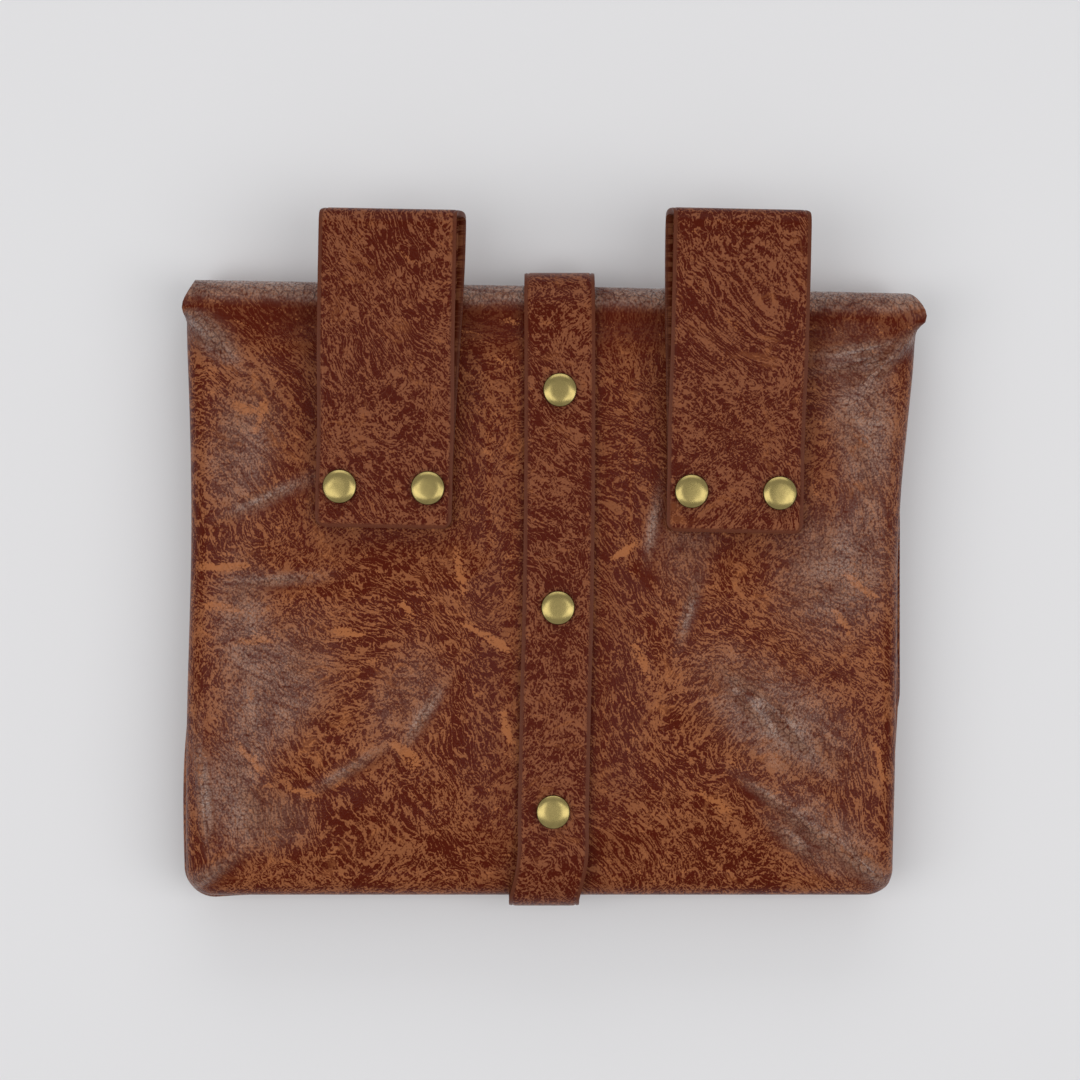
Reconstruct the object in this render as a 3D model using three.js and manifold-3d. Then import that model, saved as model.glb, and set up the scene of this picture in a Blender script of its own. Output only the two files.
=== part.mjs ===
// Belt pouch lying on its front. One hide makes the back, the fold over the top and the flap; a
// gusset joins it to the front panel; two doubled loops and a strap are riveted to the back.
// Millimetres: x to the right of the back as it is seen, y up the pouch, z up from the surface.
import * as THREE from "three";
import { mergeVertices } from "three/addons/utils/BufferGeometryUtils.js";
import Module from "manifold-3d";

const wasm = await Module();
wasm.setup();

const { lerp, smoothstep, degToRad, clamp } = THREE.MathUtils;
const smooth = (t) => smoothstep(t, 0, 1);

// Body
const bodyWidth = 208; // across the rolled edges of the back
const bodyHeight = 176.4; // bottom edge to top fold
const rimHeight = 24; // outer face of the back at its edges, above the surface
const crown = 5; // rise of the cushioned back above its edges
const hide = 1.6; // thickness of the body leather
const gap = 0.3; // space between pieces that touch in the real pouch
const topLean = 0.019; // the top edge drops to the right by this share of x

// Rolled edges
const backRoll = 8; // radius of the back's rolled edge
const frontRoll = 6; // radius of the front's rolled edge
const rollTurn = degToRad(80);
const frontInset = 1.5; // front panel's edge inside the back's edge
const tuck = 0.65; // space between a rolled edge and the gusset tucked into it
const foldShare = 0.42; // radius of each half of the top fold, as a share of the depth there
const earLength = 7.2; // length over which the rolled edge opens out at the top fold
const leftEarCut = 6.8; // from where the left ear narrows to the top fold
const rightEarCut = 0.5; // from where the right ear narrows to the top fold
const flapTrim = 0.5; // width left of the rolled strip where it has passed over the fold

// Flap and front
const flapLength = 0.785; // of the body height
const flapCorner = 20;
const flapClearance = 0.8; // between the flap and the front panel
const mouthDrop = 0.03; // the pocket's mouth below the fold, as a share of the flap

// Strap
const strapWidth = 20.2;
const strapThickness = 2;
const strapTopOut = 3.8; // how far the strap stands beyond the top fold
const strapBottomOut = 3.2; // how far it stands beyond the bottom edge
const strapLap = 38; // length of strap that lies double at the stud
const seatRise = 3; // the flat that the strap and the loops press into the back, above its edges
const seatLength = 0.84; // share of the back's flat height over which the strap lies level
const seatMargin = 2.5; // flat beyond the strap's edge
const seatSpread = 8; // width of the slope beside that flat
const nestSpread = 14; // width of the slope beside the strap on the front
const slack = 0.3; // extra room round the strap on the front

// Belt loops
const loopWidth = 38.8;
const loopThickness = 2;
const loopBend = 3.2; // inside radius of a loop's fold
const loopReach = 21; // how far a loop stands beyond the top edge
const loopTail = 11.5; // from the rivets to the cut ends
const loopRivetSpread = 0.644; // between the two rivets of a loop, as a share of its width

// Rivets and stud
const capRadius = 4.8;
const capHeight = 1.7;
const postRadius = 1.5;
const innerCapRadius = 4.5;
const innerCapHeight = 1;
const studRadius = 5;
const studHeadHeight = 1.8;
const studNeckRadius = 2;
const studBaseRadius = 4.5;
const studBaseHeight = 1;

// Edges of the back from bottom to top: half widths as shares of half the body width, and how far
// the gusset's belly stands beyond them, as shares of the rim height.
const sides = [
  { up: 0.0, left: 0.996, right: 0.966, leftBelly: 0.05, rightBelly: 0.0 },
  { up: 0.12, left: 0.999, right: 0.971, leftBelly: 0.06, rightBelly: 0.01 },
  { up: 0.22, left: 0.998, right: 0.975, leftBelly: 0.05, rightBelly: 0.02 },
  { up: 0.33, left: 0.995, right: 0.978, leftBelly: 0.0, rightBelly: 0.05 },
  { up: 0.45, left: 0.989, right: 0.981, leftBelly: 0.0, rightBelly: 0.01 },
  { up: 0.55, left: 0.985, right: 0.982, leftBelly: 0.0, rightBelly: 0.0 },
  { up: 0.67, left: 0.985, right: 0.992, leftBelly: 0.0, rightBelly: 0.0 },
  { up: 0.8, left: 0.99, right: 1.013, leftBelly: 0.0, rightBelly: 0.0 },
  { up: 0.9, left: 0.996, right: 1.028, leftBelly: 0.0, rightBelly: 0.0 },
  { up: 1.0, left: 0.998, right: 1.028, leftBelly: 0.0, rightBelly: 0.0 },
];

// Centre line of the strap on the back and on the front, as shares of the body width
const strapCourse = [
  { up: 0.0, back: -0.0012, front: -0.0012 },
  { up: 0.05, back: 0.0088, front: 0.0 },
  { up: 0.15, back: 0.0115, front: 0.001 },
  { up: 0.318, back: 0.0145, front: 0.0024 },
  { up: 0.47, back: 0.0178, front: 0.007 },
  { up: 0.82, back: 0.0205, front: 0.0165 },
  { up: 1.0, back: 0.0202, front: 0.0202 },
];

// Swells and dents of the back: place as shares of half the width and half the height, long and
// wide as shares of half the height, rise as a share of the crown.
const swells = [
  { x: -0.8, y: 0.52, long: 0.26, wide: 0.11, turn: 84, rise: 0.26 },
  { x: -0.79, y: -0.04, long: 0.2, wide: 0.1, turn: 100, rise: 0.24 },
  { x: -0.66, y: -0.36, long: 0.3, wide: 0.12, turn: 52, rise: 0.28 },
  { x: -0.82, y: -0.66, long: 0.22, wide: 0.1, turn: 78, rise: 0.24 },
  { x: -0.7, y: 0.2, long: 0.24, wide: 0.08, turn: 8, rise: -0.22 },
  { x: 0.82, y: 0.36, long: 0.3, wide: 0.11, turn: 94, rise: 0.28 },
  { x: 0.76, y: -0.14, long: 0.22, wide: 0.12, turn: 70, rise: 0.24 },
  { x: 0.52, y: -0.42, long: 0.3, wide: 0.09, turn: -36, rise: 0.26 },
  { x: 0.68, y: -0.72, long: 0.24, wide: 0.09, turn: -20, rise: 0.22 },
  { x: 0.7, y: -0.52, long: 0.28, wide: 0.06, turn: -32, rise: -0.24 },
];

const strapRivets = [
  { name: "strap_rivet_bottom", up: 0.144 },
  { name: "strap_rivet_middle", up: 0.473 },
  { name: "strap_rivet_top", up: 0.824 },
];
const studUp = 0.318;

// The two loops: place across as a share of the body width, height of the rivets as a share of the
// body height, how far the top leans to the right, and how far the under layer shifts at the fold.
const loops = [
  { side: "left", across: -0.2197, up: 0.667, lean: 1.1, skew: 2.4, first: "outer", second: "inner" },
  { side: "right", across: 0.2599, up: 0.659, lean: 1.2, skew: -1.9, first: "inner", second: "outer" },
];

const halfWidth = bodyWidth / 2;
const halfHeight = bodyHeight / 2;
const backReach = backRoll * Math.sin(rollTurn);
const frontReach = frontRoll * Math.sin(rollTurn);
const flatHalf = halfWidth - backReach;
const bottomLine = backReach - halfHeight; // where the bottom edge starts to roll
const foldReach = foldShare * rimHeight;
const hemLine = halfHeight * (1 - 2 * flapLength);
const yAt = (up) => (up - 0.5) * bodyHeight;
const upAt = (y) => clamp(y / bodyHeight + 0.5, 0, 1);

// A column of a table as a smooth function of the height.
function follow(table, column) {
  const curve = new THREE.CubicInterpolant(
    table.map((row) => row.up),
    table.map((row) => row[column]),
    1,
  );
  return (y) => curve.evaluate(upAt(y))[0];
}
const leftEdge = follow(sides, "left");
const rightEdge = follow(sides, "right");
const leftBelly = follow(sides, "leftBelly");
const rightBelly = follow(sides, "rightBelly");
const strapOnBack = follow(strapCourse, "back");
const strapOnFront = follow(strapCourse, "front");

const edgeAt = (side, y) => halfWidth * (side < 0 ? leftEdge(y) : rightEdge(y));
const foldLine = (x) => halfHeight - foldReach - topLean * x;

// One where a share lies within the flat part, falling smoothly to zero at one.
const cushion = (share, flat) => 1 - smooth((Math.abs(share) - flat) / (1 - flat));

const seatLevel = (y) => rimHeight + seatRise * cushion(y / bottomLine, seatLength);

// How firmly the strap and the loops press the back flat.
function pressed(x, y) {
  const distances = loops.map((loop) =>
    Math.max(
      Math.abs(x - loop.across * bodyWidth) - loopWidth / 2,
      yAt(loop.up) - loopTail - y,
    ),
  );
  distances.push(Math.abs(x - strapOnBack(y) * bodyWidth) - strapWidth / 2);
  return 1 - smooth((Math.min(...distances) - seatMargin) / seatSpread);
}

function backLevel(x, y) {
  const across = x / (edgeAt(x, y) - backReach);
  const along = y / bottomLine;
  const inside = clamp(1 - across ** 8, 0, 1) * clamp(1 - along ** 8, 0, 1);
  let rise = cushion(across, 0.5) * cushion(along, 0.6);
  for (const swell of swells) {
    const turn = degToRad(swell.turn);
    const dx = (x - swell.x * halfWidth) / halfHeight;
    const dy = (y - swell.y * halfHeight) / halfHeight;
    const u = (dx * Math.cos(turn) + dy * Math.sin(turn)) / swell.long;
    const v = (dy * Math.cos(turn) - dx * Math.sin(turn)) / swell.wide;
    rise += swell.rise * Math.exp(-u * u - v * v) * inside;
  }
  return lerp(rimHeight + crown * rise, seatLevel(y), pressed(x, y));
}

// Levels of the layers at the stud, from the surface upwards
const strapLay = gap + strapThickness / 2;
const outerLap = gap + studHeadHeight + gap + strapThickness / 2;
const innerLap = outerLap + strapThickness + gap;
const studTop = innerLap + strapThickness / 2 + gap + studBaseHeight;
const strapRoom = strapThickness + 2 * gap + slack;
const studRoom = studTop + gap + slack;

// Half width of the middle of the front, which takes in the strap's course and the slopes beside it
const strapZone =
  strapWidth / 2 + seatMargin + nestSpread + Math.abs(strapOnBack(halfHeight)) * bodyWidth;

// One over the strap on the front, falling to zero beside it.
const besideStrap = (x, y) =>
  1 - smooth((Math.abs(x - strapOnFront(y) * bodyWidth) - strapWidth / 2 - seatMargin) / nestSpread);
const lapEnd = yAt(studUp) + strapLap / 2;
const flapLevel = (x, y) =>
  lerp(strapRoom, studRoom, smooth((lapEnd + 0.85 * strapLap - y) / (0.75 * strapLap))) *
  besideStrap(x, y);

// The front panel lies over the flap, and comes down to the surface below the flap's hem.
const hemFall = 0.135 * bodyHeight;
function frontLevel(x, y) {
  const covered = smooth((y - hemLine + hemFall) / (0.85 * hemFall));
  return lerp(
    gap + (strapRoom + gap) * besideStrap(x, y),
    flapLevel(x, y) + hide + flapClearance,
    covered,
  );
}

// Turns the outer strip of a panel over a radius: side and down are shares of the strip's width, and
// ease fades the roll out. Both strips share one rounded corner.
function rolled(side, down, radius, depth, ease) {
  const across = side * Math.sqrt(1 - (down * down) / 2);
  const along = down * Math.sqrt(1 - (side * side) / 2);
  const share = Math.hypot(across, along);
  const bend = radius / ease;
  const angle = share * rollTurn * ease;
  const out = share > 0 ? ((bend - depth) * Math.sin(angle)) / share : 0;
  return { across: across * out, along: along * out, drop: bend - (bend - depth) * Math.cos(angle) };
}

// Columns run from -2 to 2: the flat part is within -1 and 1, the rolled strips are beyond it.
function columnX(column, flat) {
  const share = clamp(column, -1, 1);
  return share * flatHalf + Math.abs(share) ** 3 * Math.sign(column) * (flat - flatHalf);
}
const stripShare = (column) => Math.max(Math.abs(column) - 1, 0);

// A point of the back hide, depth below its outer face. Rows run from -1 at the bottom cut edge:
// 0 to 1 is the back, 1 to 4 the fold over the top, 4 to 5 the flap down to its hem. The lead is
// the distance along the hide beyond the line where the fold starts.
function hidePoint(column, row, depth) {
  const side = Math.sign(column);
  const onBack = clamp(row, 0, 1);
  const levelY = lerp(bottomLine, foldLine(0), onBack);
  const flat = edgeAt(side, levelY) - backReach;
  const x0 = columnX(column, flat);
  const y0 = lerp(bottomLine, foldLine(x0), onBack);
  const quarter = (foldReach * Math.PI) / 2;
  const lead = y0 - foldLine(x0) + clamp(row - 1, 0, 1) * quarter;
  const ease = 1.01 - smooth((lead + 0.35 * earLength) / earLength);
  const earCut = side < 0 ? leftEarCut : rightEarCut;
  const strip = stripShare(column) * lerp(1, flapTrim, smooth((lead + earCut) / (1.2 * quarter)));
  const roll = rolled(strip, Math.max(-row, 0), backRoll, depth, ease);
  const x = x0 + side * roll.across;
  if (row <= 1) {
    const y = y0 - roll.along;
    return new THREE.Vector3(x, y, backLevel(x, y) - roll.drop);
  }
  const line = foldLine(x);
  const high = backLevel(x, line);
  const low = flapLevel(x, line);
  const radius = foldShare * (high - low);
  if (row < 4) {
    const turn = (Math.min(row - 1, 1) + Math.max(row - 3, 0)) * (Math.PI / 2);
    const centre = lerp(high - radius, low + radius, clamp(row - 2, 0, 1));
    return new THREE.Vector3(
      x,
      line + (foldReach - roll.drop) * Math.sin(turn),
      centre + (radius - roll.drop) * Math.cos(turn),
    );
  }
  const y = lerp(line, hemLine, row - 4);
  const rise = Math.max(flapCorner - (y - hemLine), 0);
  const cut = flapCorner - Math.sqrt(flapCorner ** 2 - rise ** 2);
  const beyond = Math.max(Math.abs(x) - strapZone, 0);
  const reach = flat + flapTrim * backRoll * rollTurn - strapZone;
  const xCut = x - side * cut * (beyond / reach);
  return new THREE.Vector3(xCut, y, flapLevel(xCut, y) + depth);
}

// A point of the front panel, depth below its outer face. Rows run from 0 at the mouth to 1 at the
// flap's hem, 2 at the bottom line and 3 at the cut edge tucked round the gusset.
function frontPoint(column, row, depth) {
  const side = Math.sign(column);
  const floor = frontInset + frontReach - halfHeight;
  const height = (x) =>
    row < 1
      ? lerp(foldLine(x), hemLine, Math.max(row, mouthDrop))
      : lerp(hemLine, floor, Math.min(row - 1, 1));
  const flat = edgeAt(side, height(0)) - frontInset - frontReach;
  const x0 = columnX(column, flat);
  const y0 = height(x0);
  const roll = rolled(stripShare(column), Math.max(row - 2, 0), frontRoll, depth, 1);
  return new THREE.Vector3(
    x0 + side * roll.across,
    y0 - roll.along,
    frontLevel(x0, y0) + roll.drop,
  );
}

// The gusset's section at a place on the back's edge: tucked into the back's roll, bellied out
// between, and tucked into the front's roll.
function gussetRing(column, row) {
  const side = Math.sign(column);
  const onBack = clamp(row, 0, 1);
  const levelY = lerp(bottomLine, foldLine(0), onBack);
  const x0 = columnX(column, edgeAt(side, levelY) - backReach);
  const y0 = lerp(bottomLine, foldLine(x0), onBack);
  const corner = rolled(stripShare(column), Math.max(-row, 0), backRoll, 0, 1);
  const out = new THREE.Vector2(side * corner.across, -corner.along).normalize();
  const back = new THREE.Vector2(0, rimHeight - backRoll);
  const front = new THREE.Vector2(
    backReach - frontInset - frontReach,
    frontLevel(x0, y0) + frontRoll,
  );
  const sideBelly = side < 0 ? leftBelly(y0) : rightBelly(y0);
  const bellyShare = sideBelly * clamp(Math.abs(column), 0, 1) ** 6;
  const section = (depth) => {
    const upper = backRoll - hide - tuck - depth;
    const lower = frontRoll - hide - tuck - depth;
    const onArc = (centre, radius, degrees, way) =>
      new THREE.Vector2(
        centre.x + radius * Math.sin(degToRad(degrees)),
        centre.y + way * radius * Math.cos(degToRad(degrees)),
      );
    const top = onArc(back, upper, 84, 1);
    const bottom = onArc(front, lower, 84, -1);
    const belly = backReach + bellyShare * rimHeight - depth - (top.x + bottom.x) / 2;
    const bellied = [0.25, 0.5, 0.75].map((t) =>
      top.clone().lerp(bottom, t).add(new THREE.Vector2(belly * Math.sin(Math.PI * t), 0)),
    );
    return [
      onArc(back, upper, 50, 1),
      onArc(back, upper, 67, 1),
      top,
      ...bellied,
      bottom,
      onArc(front, lower, 58, -1),
    ];
  };
  return [...section(0), ...section(hide).reverse()].map(
    (p) => new THREE.Vector3(x0 + out.x * p.x, y0 + out.y * p.x, p.y),
  );
}

// A closed shell through rings of points, each ring going round a section of the piece: one face,
// then the other face back again. Both faces are split along the same diagonals.
function loft(rings) {
  const count = rings[0].length;
  const index = [];
  const quad = (a, b, c, d) => index.push(a, b, c, a, c, d);
  for (let r = 0; r + 1 < rings.length; r++) {
    for (let i = 0; i < count; i++) {
      const here = r * count;
      const next = here + count;
      const j = (i + 1) % count;
      if (i < count / 2) quad(here + i, here + j, next + j, next + i);
      else quad(here + j, next + j, next + i, here + i);
    }
  }
  const last = (rings.length - 1) * count;
  for (let i = 0; i + 1 < count / 2; i++) {
    const k = count - 1 - i;
    quad(i, k, k - 1, i + 1);
    quad(last + i, last + i + 1, last + k - 1, last + k);
  }
  const positions = rings.flat().flatMap((p) => p.toArray());
  return new THREE.BufferGeometry()
    .setAttribute("position", new THREE.Float32BufferAttribute(positions, 3))
    .setIndex(index);
}

// A sheet of leather: outer face left to right, inner face back again, row by row.
const sheet = (columns, rows, point) =>
  loft(
    rows.map((row) => [
      ...columns.map((column) => point(column, row, 0)),
      ...columns.toReversed().map((column) => point(column, row, hide)),
    ]),
  );

// Stations from each stop to the next in the given number of steps.
const stations = (first, ...legs) =>
  legs.reduce(
    (list, [to, steps]) => {
      const from = list.at(-1);
      for (let i = 1; i <= steps; i++) list.push(lerp(from, to, i / steps));
      return list;
    },
    [first],
  );

// A strap along a route in the yz plane, shifted across by a function, its long edges bevelled.
function ribbon(route, divisions, width, thickness, across) {
  const line = route.getPoints(divisions);
  const bevel = thickness * 0.2;
  const section = [
    [-width / 2, thickness / 2 - bevel],
    [bevel - width / 2, thickness / 2],
    [width / 2 - bevel, thickness / 2],
    [width / 2, thickness / 2 - bevel],
    [width / 2, bevel - thickness / 2],
    [width / 2 - bevel, -thickness / 2],
    [bevel - width / 2, -thickness / 2],
    [-width / 2, bevel - thickness / 2],
  ];
  return loft(
    line.map((p, i) => {
      const along = line[Math.min(i + 1, line.length - 1)].clone();
      along.sub(line[Math.max(i - 1, 0)]).normalize();
      const x = across(p, i / (line.length - 1));
      return section.map(
        ([u, v]) => new THREE.Vector3(x + u, p.x - v * along.y, p.y + v * along.x),
      );
    }),
  );
}

function solidOf(geometry) {
  const bare = geometry.clone();
  bare.deleteAttribute("normal");
  bare.deleteAttribute("uv");
  const merged = mergeVertices(bare, 1e-4);
  return new wasm.Manifold(
    new wasm.Mesh({
      numProp: 3,
      vertProperties: merged.attributes.position.array,
      triVerts: new Uint32Array(merged.index.array),
    }),
  );
}

// Cuts a round hole along z at each spot.
function drill(geometry, spots, radius, bottom, top) {
  let solid = solidOf(geometry);
  for (const spot of spots) {
    const bore = new THREE.CylinderGeometry(radius, radius, top - bottom, 16)
      .rotateX(Math.PI / 2)
      .translate(spot.x, spot.y, (top + bottom) / 2);
    solid = solid.subtract(solidOf(bore));
  }
  const mesh = solid.getMesh();
  return new THREE.BufferGeometry()
    .setAttribute("position", new THREE.Float32BufferAttribute(mesh.vertProperties, 3))
    .setIndex([...mesh.triVerts]);
}

// A two-part rivet: flat cap inside, post, domed cap outside. Height 0 is under the domed cap.
const rivet = (grip) =>
  new THREE.LatheGeometry(
    [
      [0, -grip - innerCapHeight],
      [innerCapRadius * 0.9, -grip - innerCapHeight],
      [innerCapRadius, -grip - innerCapHeight / 2],
      [innerCapRadius, -grip],
      [postRadius, -grip],
      [postRadius, 0],
      [capRadius * 0.98, 0],
      [capRadius, capHeight * 0.25],
      [capRadius * 0.88, capHeight * 0.65],
      [capRadius * 0.6, capHeight * 0.91],
      [0, capHeight],
    ].map(([r, h]) => new THREE.Vector2(r, h)),
    12,
  ).rotateX(Math.PI / 2);

// A stud with a flat base, a neck and a rounded head, head down. Height 0 is the head's underside.
const stud = () =>
  new THREE.LatheGeometry(
    [
      [0, 0],
      [studRadius * 0.7, 0],
      [studRadius * 0.95, studHeadHeight * 0.3],
      [studRadius, studHeadHeight * 0.75],
      [studRadius * 0.9, studHeadHeight],
      [studNeckRadius, studHeadHeight],
      [studNeckRadius, studTop - gap - studBaseHeight],
      [studBaseRadius, studTop - gap - studBaseHeight],
      [studBaseRadius, studTop - gap],
      [0, studTop - gap],
    ].map(([r, h]) => new THREE.Vector2(r, h)),
    12,
  ).rotateX(Math.PI / 2);

const leather = (color, roughness) =>
  new THREE.MeshStandardMaterial({ color, roughness, metalness: 0 });
const brass = () => new THREE.MeshStandardMaterial({ color: 0xa08a4a, roughness: 0.35, metalness: 1 });

const pouch = new THREE.Group();

function addPiece(parent, name, geometry, material) {
  const piece = new THREE.Mesh(geometry, material);
  piece.name = name;
  parent.add(piece);
  return piece;
}

// Belt loops, each in its own leaning group with its rivets
const backSeat = rimHeight + seatRise;
const underLayer = backSeat + gap + loopThickness / 2;
const upperLayer = underLayer + gap + loopThickness;
const loopRise = underLayer + 2 * loopBend + loopThickness;
const loopTop = halfHeight + loopReach - loopBend - loopThickness;
const loopGrip = loopThickness * 2 + hide + gap * 4;
const loopRivetSpots = [];

for (const loop of loops) {
  const group = new THREE.Group();
  group.position.set(loop.across * bodyWidth, yAt(loop.up), 0);
  group.rotation.z = -degToRad(loop.lean);
  pouch.add(group);
  group.updateWorldMatrix(true, false);

  const fold = loopTop - yAt(loop.up);
  const beltStart = fold * 0.45;
  const bend = loopBend + loopThickness / 2;
  const middle = underLayer + bend;
  const route = new THREE.Path()
    .moveTo(-loopTail, upperLayer)
    .lineTo(0, upperLayer)
    .lineTo(capRadius * 1.6, upperLayer)
    .bezierCurveTo(fold * 0.25, upperLayer, fold * 0.35, loopRise, fold, loopRise)
    .absarc(fold, middle, bend, Math.PI / 2, -Math.PI / 2, true)
    .lineTo(beltStart, underLayer)
    .lineTo(capRadius * 1.6, underLayer)
    .lineTo(0, underLayer)
    .lineTo(-loopTail, underLayer);
  const shift = (p) =>
    p.x > 0 ? loop.skew * smooth(p.x / fold) * smooth((middle - p.y) / (2 * loopBend) + 0.5) : 0;
  const offset = (loopRivetSpread * loopWidth) / 2;
  const spots = [-1, 1].map((way) => new THREE.Vector3(way * offset, 0, 0));
  const strip = drill(
    ribbon(route, 5, loopWidth, loopThickness, shift),
    spots,
    postRadius + gap,
    backSeat,
    upperLayer + loopThickness,
  );
  addPiece(group, `belt_loop_${loop.side}`, strip, leather(0x654026, 0.5));
  for (const [i, spot] of spots.entries()) {
    const name = `loop_rivet_${loop.side}_${[loop.first, loop.second][i]}`;
    const piece = addPiece(group, name, rivet(loopGrip), brass());
    piece.position.set(spot.x, 0, upperLayer + loopThickness / 2 + gap);
    loopRivetSpots.push(spot.clone().applyMatrix4(group.matrixWorld));
  }
}

// Strap: from its inner end at the stud down the front, round the bottom, up the back, over the top
// and down the front to its outer end
const strapLevel = backSeat + gap + strapThickness / 2;
const strapTurn = seatLength * bottomLine;
const topOut = halfHeight + strapTopOut - strapThickness / 2;
const bottomOut = -halfHeight - strapBottomOut + strapThickness / 2;
const middleLevel = (strapLevel + strapLay) / 2;
const lapStart = yAt(studUp) - strapLap / 2;
const lowRun = lapStart - 0.14 * bodyHeight;
const strapRoute = new THREE.Path()
  .moveTo(lapEnd, innerLap)
  .lineTo(yAt(studUp), innerLap)
  .lineTo(lapStart, innerLap)
  .bezierCurveTo(
    lapStart - 0.04 * bodyHeight,
    innerLap,
    lowRun + 0.06 * bodyHeight,
    strapLay,
    lowRun,
    strapLay,
  )
  .bezierCurveTo(
    lerp(lowRun, bottomOut, 0.75),
    strapLay,
    bottomOut,
    0.25 * middleLevel,
    bottomOut,
    middleLevel,
  )
  .bezierCurveTo(
    bottomOut,
    0.92 * strapLevel,
    lerp(strapTurn, bottomOut, 0.72),
    strapLevel,
    strapTurn,
    strapLevel,
  );
for (const { up } of strapRivets) strapRoute.lineTo(yAt(up), strapLevel);
strapRoute
  .lineTo(-strapTurn, strapLevel)
  .bezierCurveTo(
    lerp(-strapTurn, topOut, 0.7),
    strapLevel,
    topOut,
    0.86 * strapLevel,
    topOut,
    middleLevel,
  )
  .bezierCurveTo(
    topOut,
    0.1 * middleLevel,
    lerp(foldLine(0), topOut, 0.7),
    strapLay,
    foldLine(0),
    strapLay,
  )
  .lineTo(lapEnd + 0.35 * strapLap, strapLay)
  .bezierCurveTo(lapEnd, strapLay, lapEnd, outerLap, yAt(studUp) + 0.25 * strapLap, outerLap)
  .lineTo(yAt(studUp), outerLap)
  .lineTo(lapStart, outerLap);
const strapX = (p) => bodyWidth * (p.y > middleLevel ? strapOnBack(p.x) : strapOnFront(p.x));
const strapBand = ribbon(strapRoute, 5, strapWidth, strapThickness, strapX);

const rivetSpots = strapRivets.map(({ up }) => {
  const y = yAt(up);
  return new THREE.Vector3(strapOnBack(y) * bodyWidth, y, 0);
});
const studSpot = new THREE.Vector3(strapOnFront(yAt(studUp)) * bodyWidth, yAt(studUp), 0);
const strapBored = drill(
  strapBand,
  rivetSpots,
  postRadius + gap,
  backSeat,
  strapLevel + strapThickness,
);
const strapPiece = drill(strapBored, [studSpot], studNeckRadius + gap, 0, middleLevel);
addPiece(pouch, "closure_strap", strapPiece, leather(0x5d2f1f, 0.5));

const strapGrip = strapThickness + hide + gap * 3;
for (const [i, { name }] of strapRivets.entries()) {
  const piece = addPiece(pouch, name, rivet(strapGrip), brass());
  piece.position.set(rivetSpots[i].x, rivetSpots[i].y, strapLevel + strapThickness / 2 + gap);
}
const studPiece = addPiece(pouch, "closure_stud", stud(), brass());
studPiece.position.set(studSpot.x, studSpot.y, gap);

// The hide that makes the back, the fold and the flap
const zone = strapZone / flatHalf;
const loopEdge = (loop, way) =>
  (loop.across * bodyWidth + way * (loopWidth / 2 + seatMargin)) / flatHalf;
const rowAt = (y) => (y - bottomLine) / (foldLine(0) - bottomLine);
const flapLegs = [
  [0.84, 7],
  [0.94, 1],
  [1, 2],
];
const hideColumns = stations(
  -2,
  [-1, 3],
  [loopEdge(loops[0], -1), 3],
  [-zone, 4],
  [zone, 12],
  [loopEdge(loops[1], -1), 1],
  [loopEdge(loops[1], 1), 4],
  [1, 2],
  [2, 3],
);
const hideRows = stations(
  -1,
  [0, 3],
  [rowAt(strapTurn), 2],
  [rowAt(yAt(loops[0].up) - loopTail - seatMargin), 6],
  [rowAt(-strapTurn), 5],
  [1, 2],
  [2, 3],
  [3, 1],
  [4, 3],
  ...flapLegs.map(([to, steps]) => [to + 4, steps]),
);
const backHide = drill(
  sheet(hideColumns, hideRows, hidePoint),
  [...rivetSpots, ...loopRivetSpots],
  postRadius + gap,
  backSeat - 2 * hide,
  backSeat + hide,
);
addPiece(pouch, "back_panel_flap", backHide, leather(0x653725, 0.45));

// Front panel and gusset
const frontColumns = stations(-2, [-1, 2], [-zone, 3], [zone, 12], [1, 3], [2, 2]);
const frontRows = stations(0, ...flapLegs, [2, 5], [3, 2]);
addPiece(pouch, "front_panel", sheet(frontColumns, frontRows, frontPoint), leather(0x5f3322, 0.5));

const gussetTop = 0.96;
const gussetStops = [
  ...stations(gussetTop, [0, 7], [-1, 2]).map((row) => [-2, row]),
  ...frontColumns.slice(1).map((column) => [column, -1]),
  ...stations(-1, [0, 2], [gussetTop, 7]).slice(1).map((row) => [2, row]),
];
const gusset = loft(gussetStops.map(([column, row]) => gussetRing(column, row)));
addPiece(pouch, "side_gusset", gusset, leather(0x5f3322, 0.5));

// The whole pouch stands with its lowest face on z = 0 and its box centred on the z axis.
const box = new THREE.Box3().setFromObject(pouch, true);
const centre = box.getCenter(new THREE.Vector3());
pouch.position.set(-centre.x, -centre.y, -box.min.z);

const part = new THREE.Group();
part.add(pouch);

export default part;
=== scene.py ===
"""Builds the looks of a leather belt pouch that lies on its front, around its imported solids.

Lengths are in metres, in the frame of the solids: x to the right of the back as it is seen, y up the
pouch and z up from the surface it lies on.
"""

import math

import bmesh
import bpy
import numpy as np
from bpy.props import FloatProperty, FloatVectorProperty, PointerProperty
from bpy.types import Operator, Panel, PropertyGroup
from mathutils import Matrix, Vector
from mathutils.geometry import interpolate_bezier


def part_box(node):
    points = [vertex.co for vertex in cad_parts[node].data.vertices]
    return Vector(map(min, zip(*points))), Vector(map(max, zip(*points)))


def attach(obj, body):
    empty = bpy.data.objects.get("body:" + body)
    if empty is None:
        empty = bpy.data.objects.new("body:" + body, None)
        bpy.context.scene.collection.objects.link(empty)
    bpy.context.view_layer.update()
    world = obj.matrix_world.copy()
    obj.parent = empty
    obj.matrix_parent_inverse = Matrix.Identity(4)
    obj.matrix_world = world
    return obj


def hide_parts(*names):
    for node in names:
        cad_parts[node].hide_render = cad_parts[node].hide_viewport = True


bl_info = {
    "name": "Belt pouch",
    "version": (1, 0, 0),
    "blender": (4, 5, 0),
    "location": "3D View > Sidebar > Pouch",
    "description": "Leather belt pouch with a riveted strap and two belt loops",
    "category": "Add Mesh",
}

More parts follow.
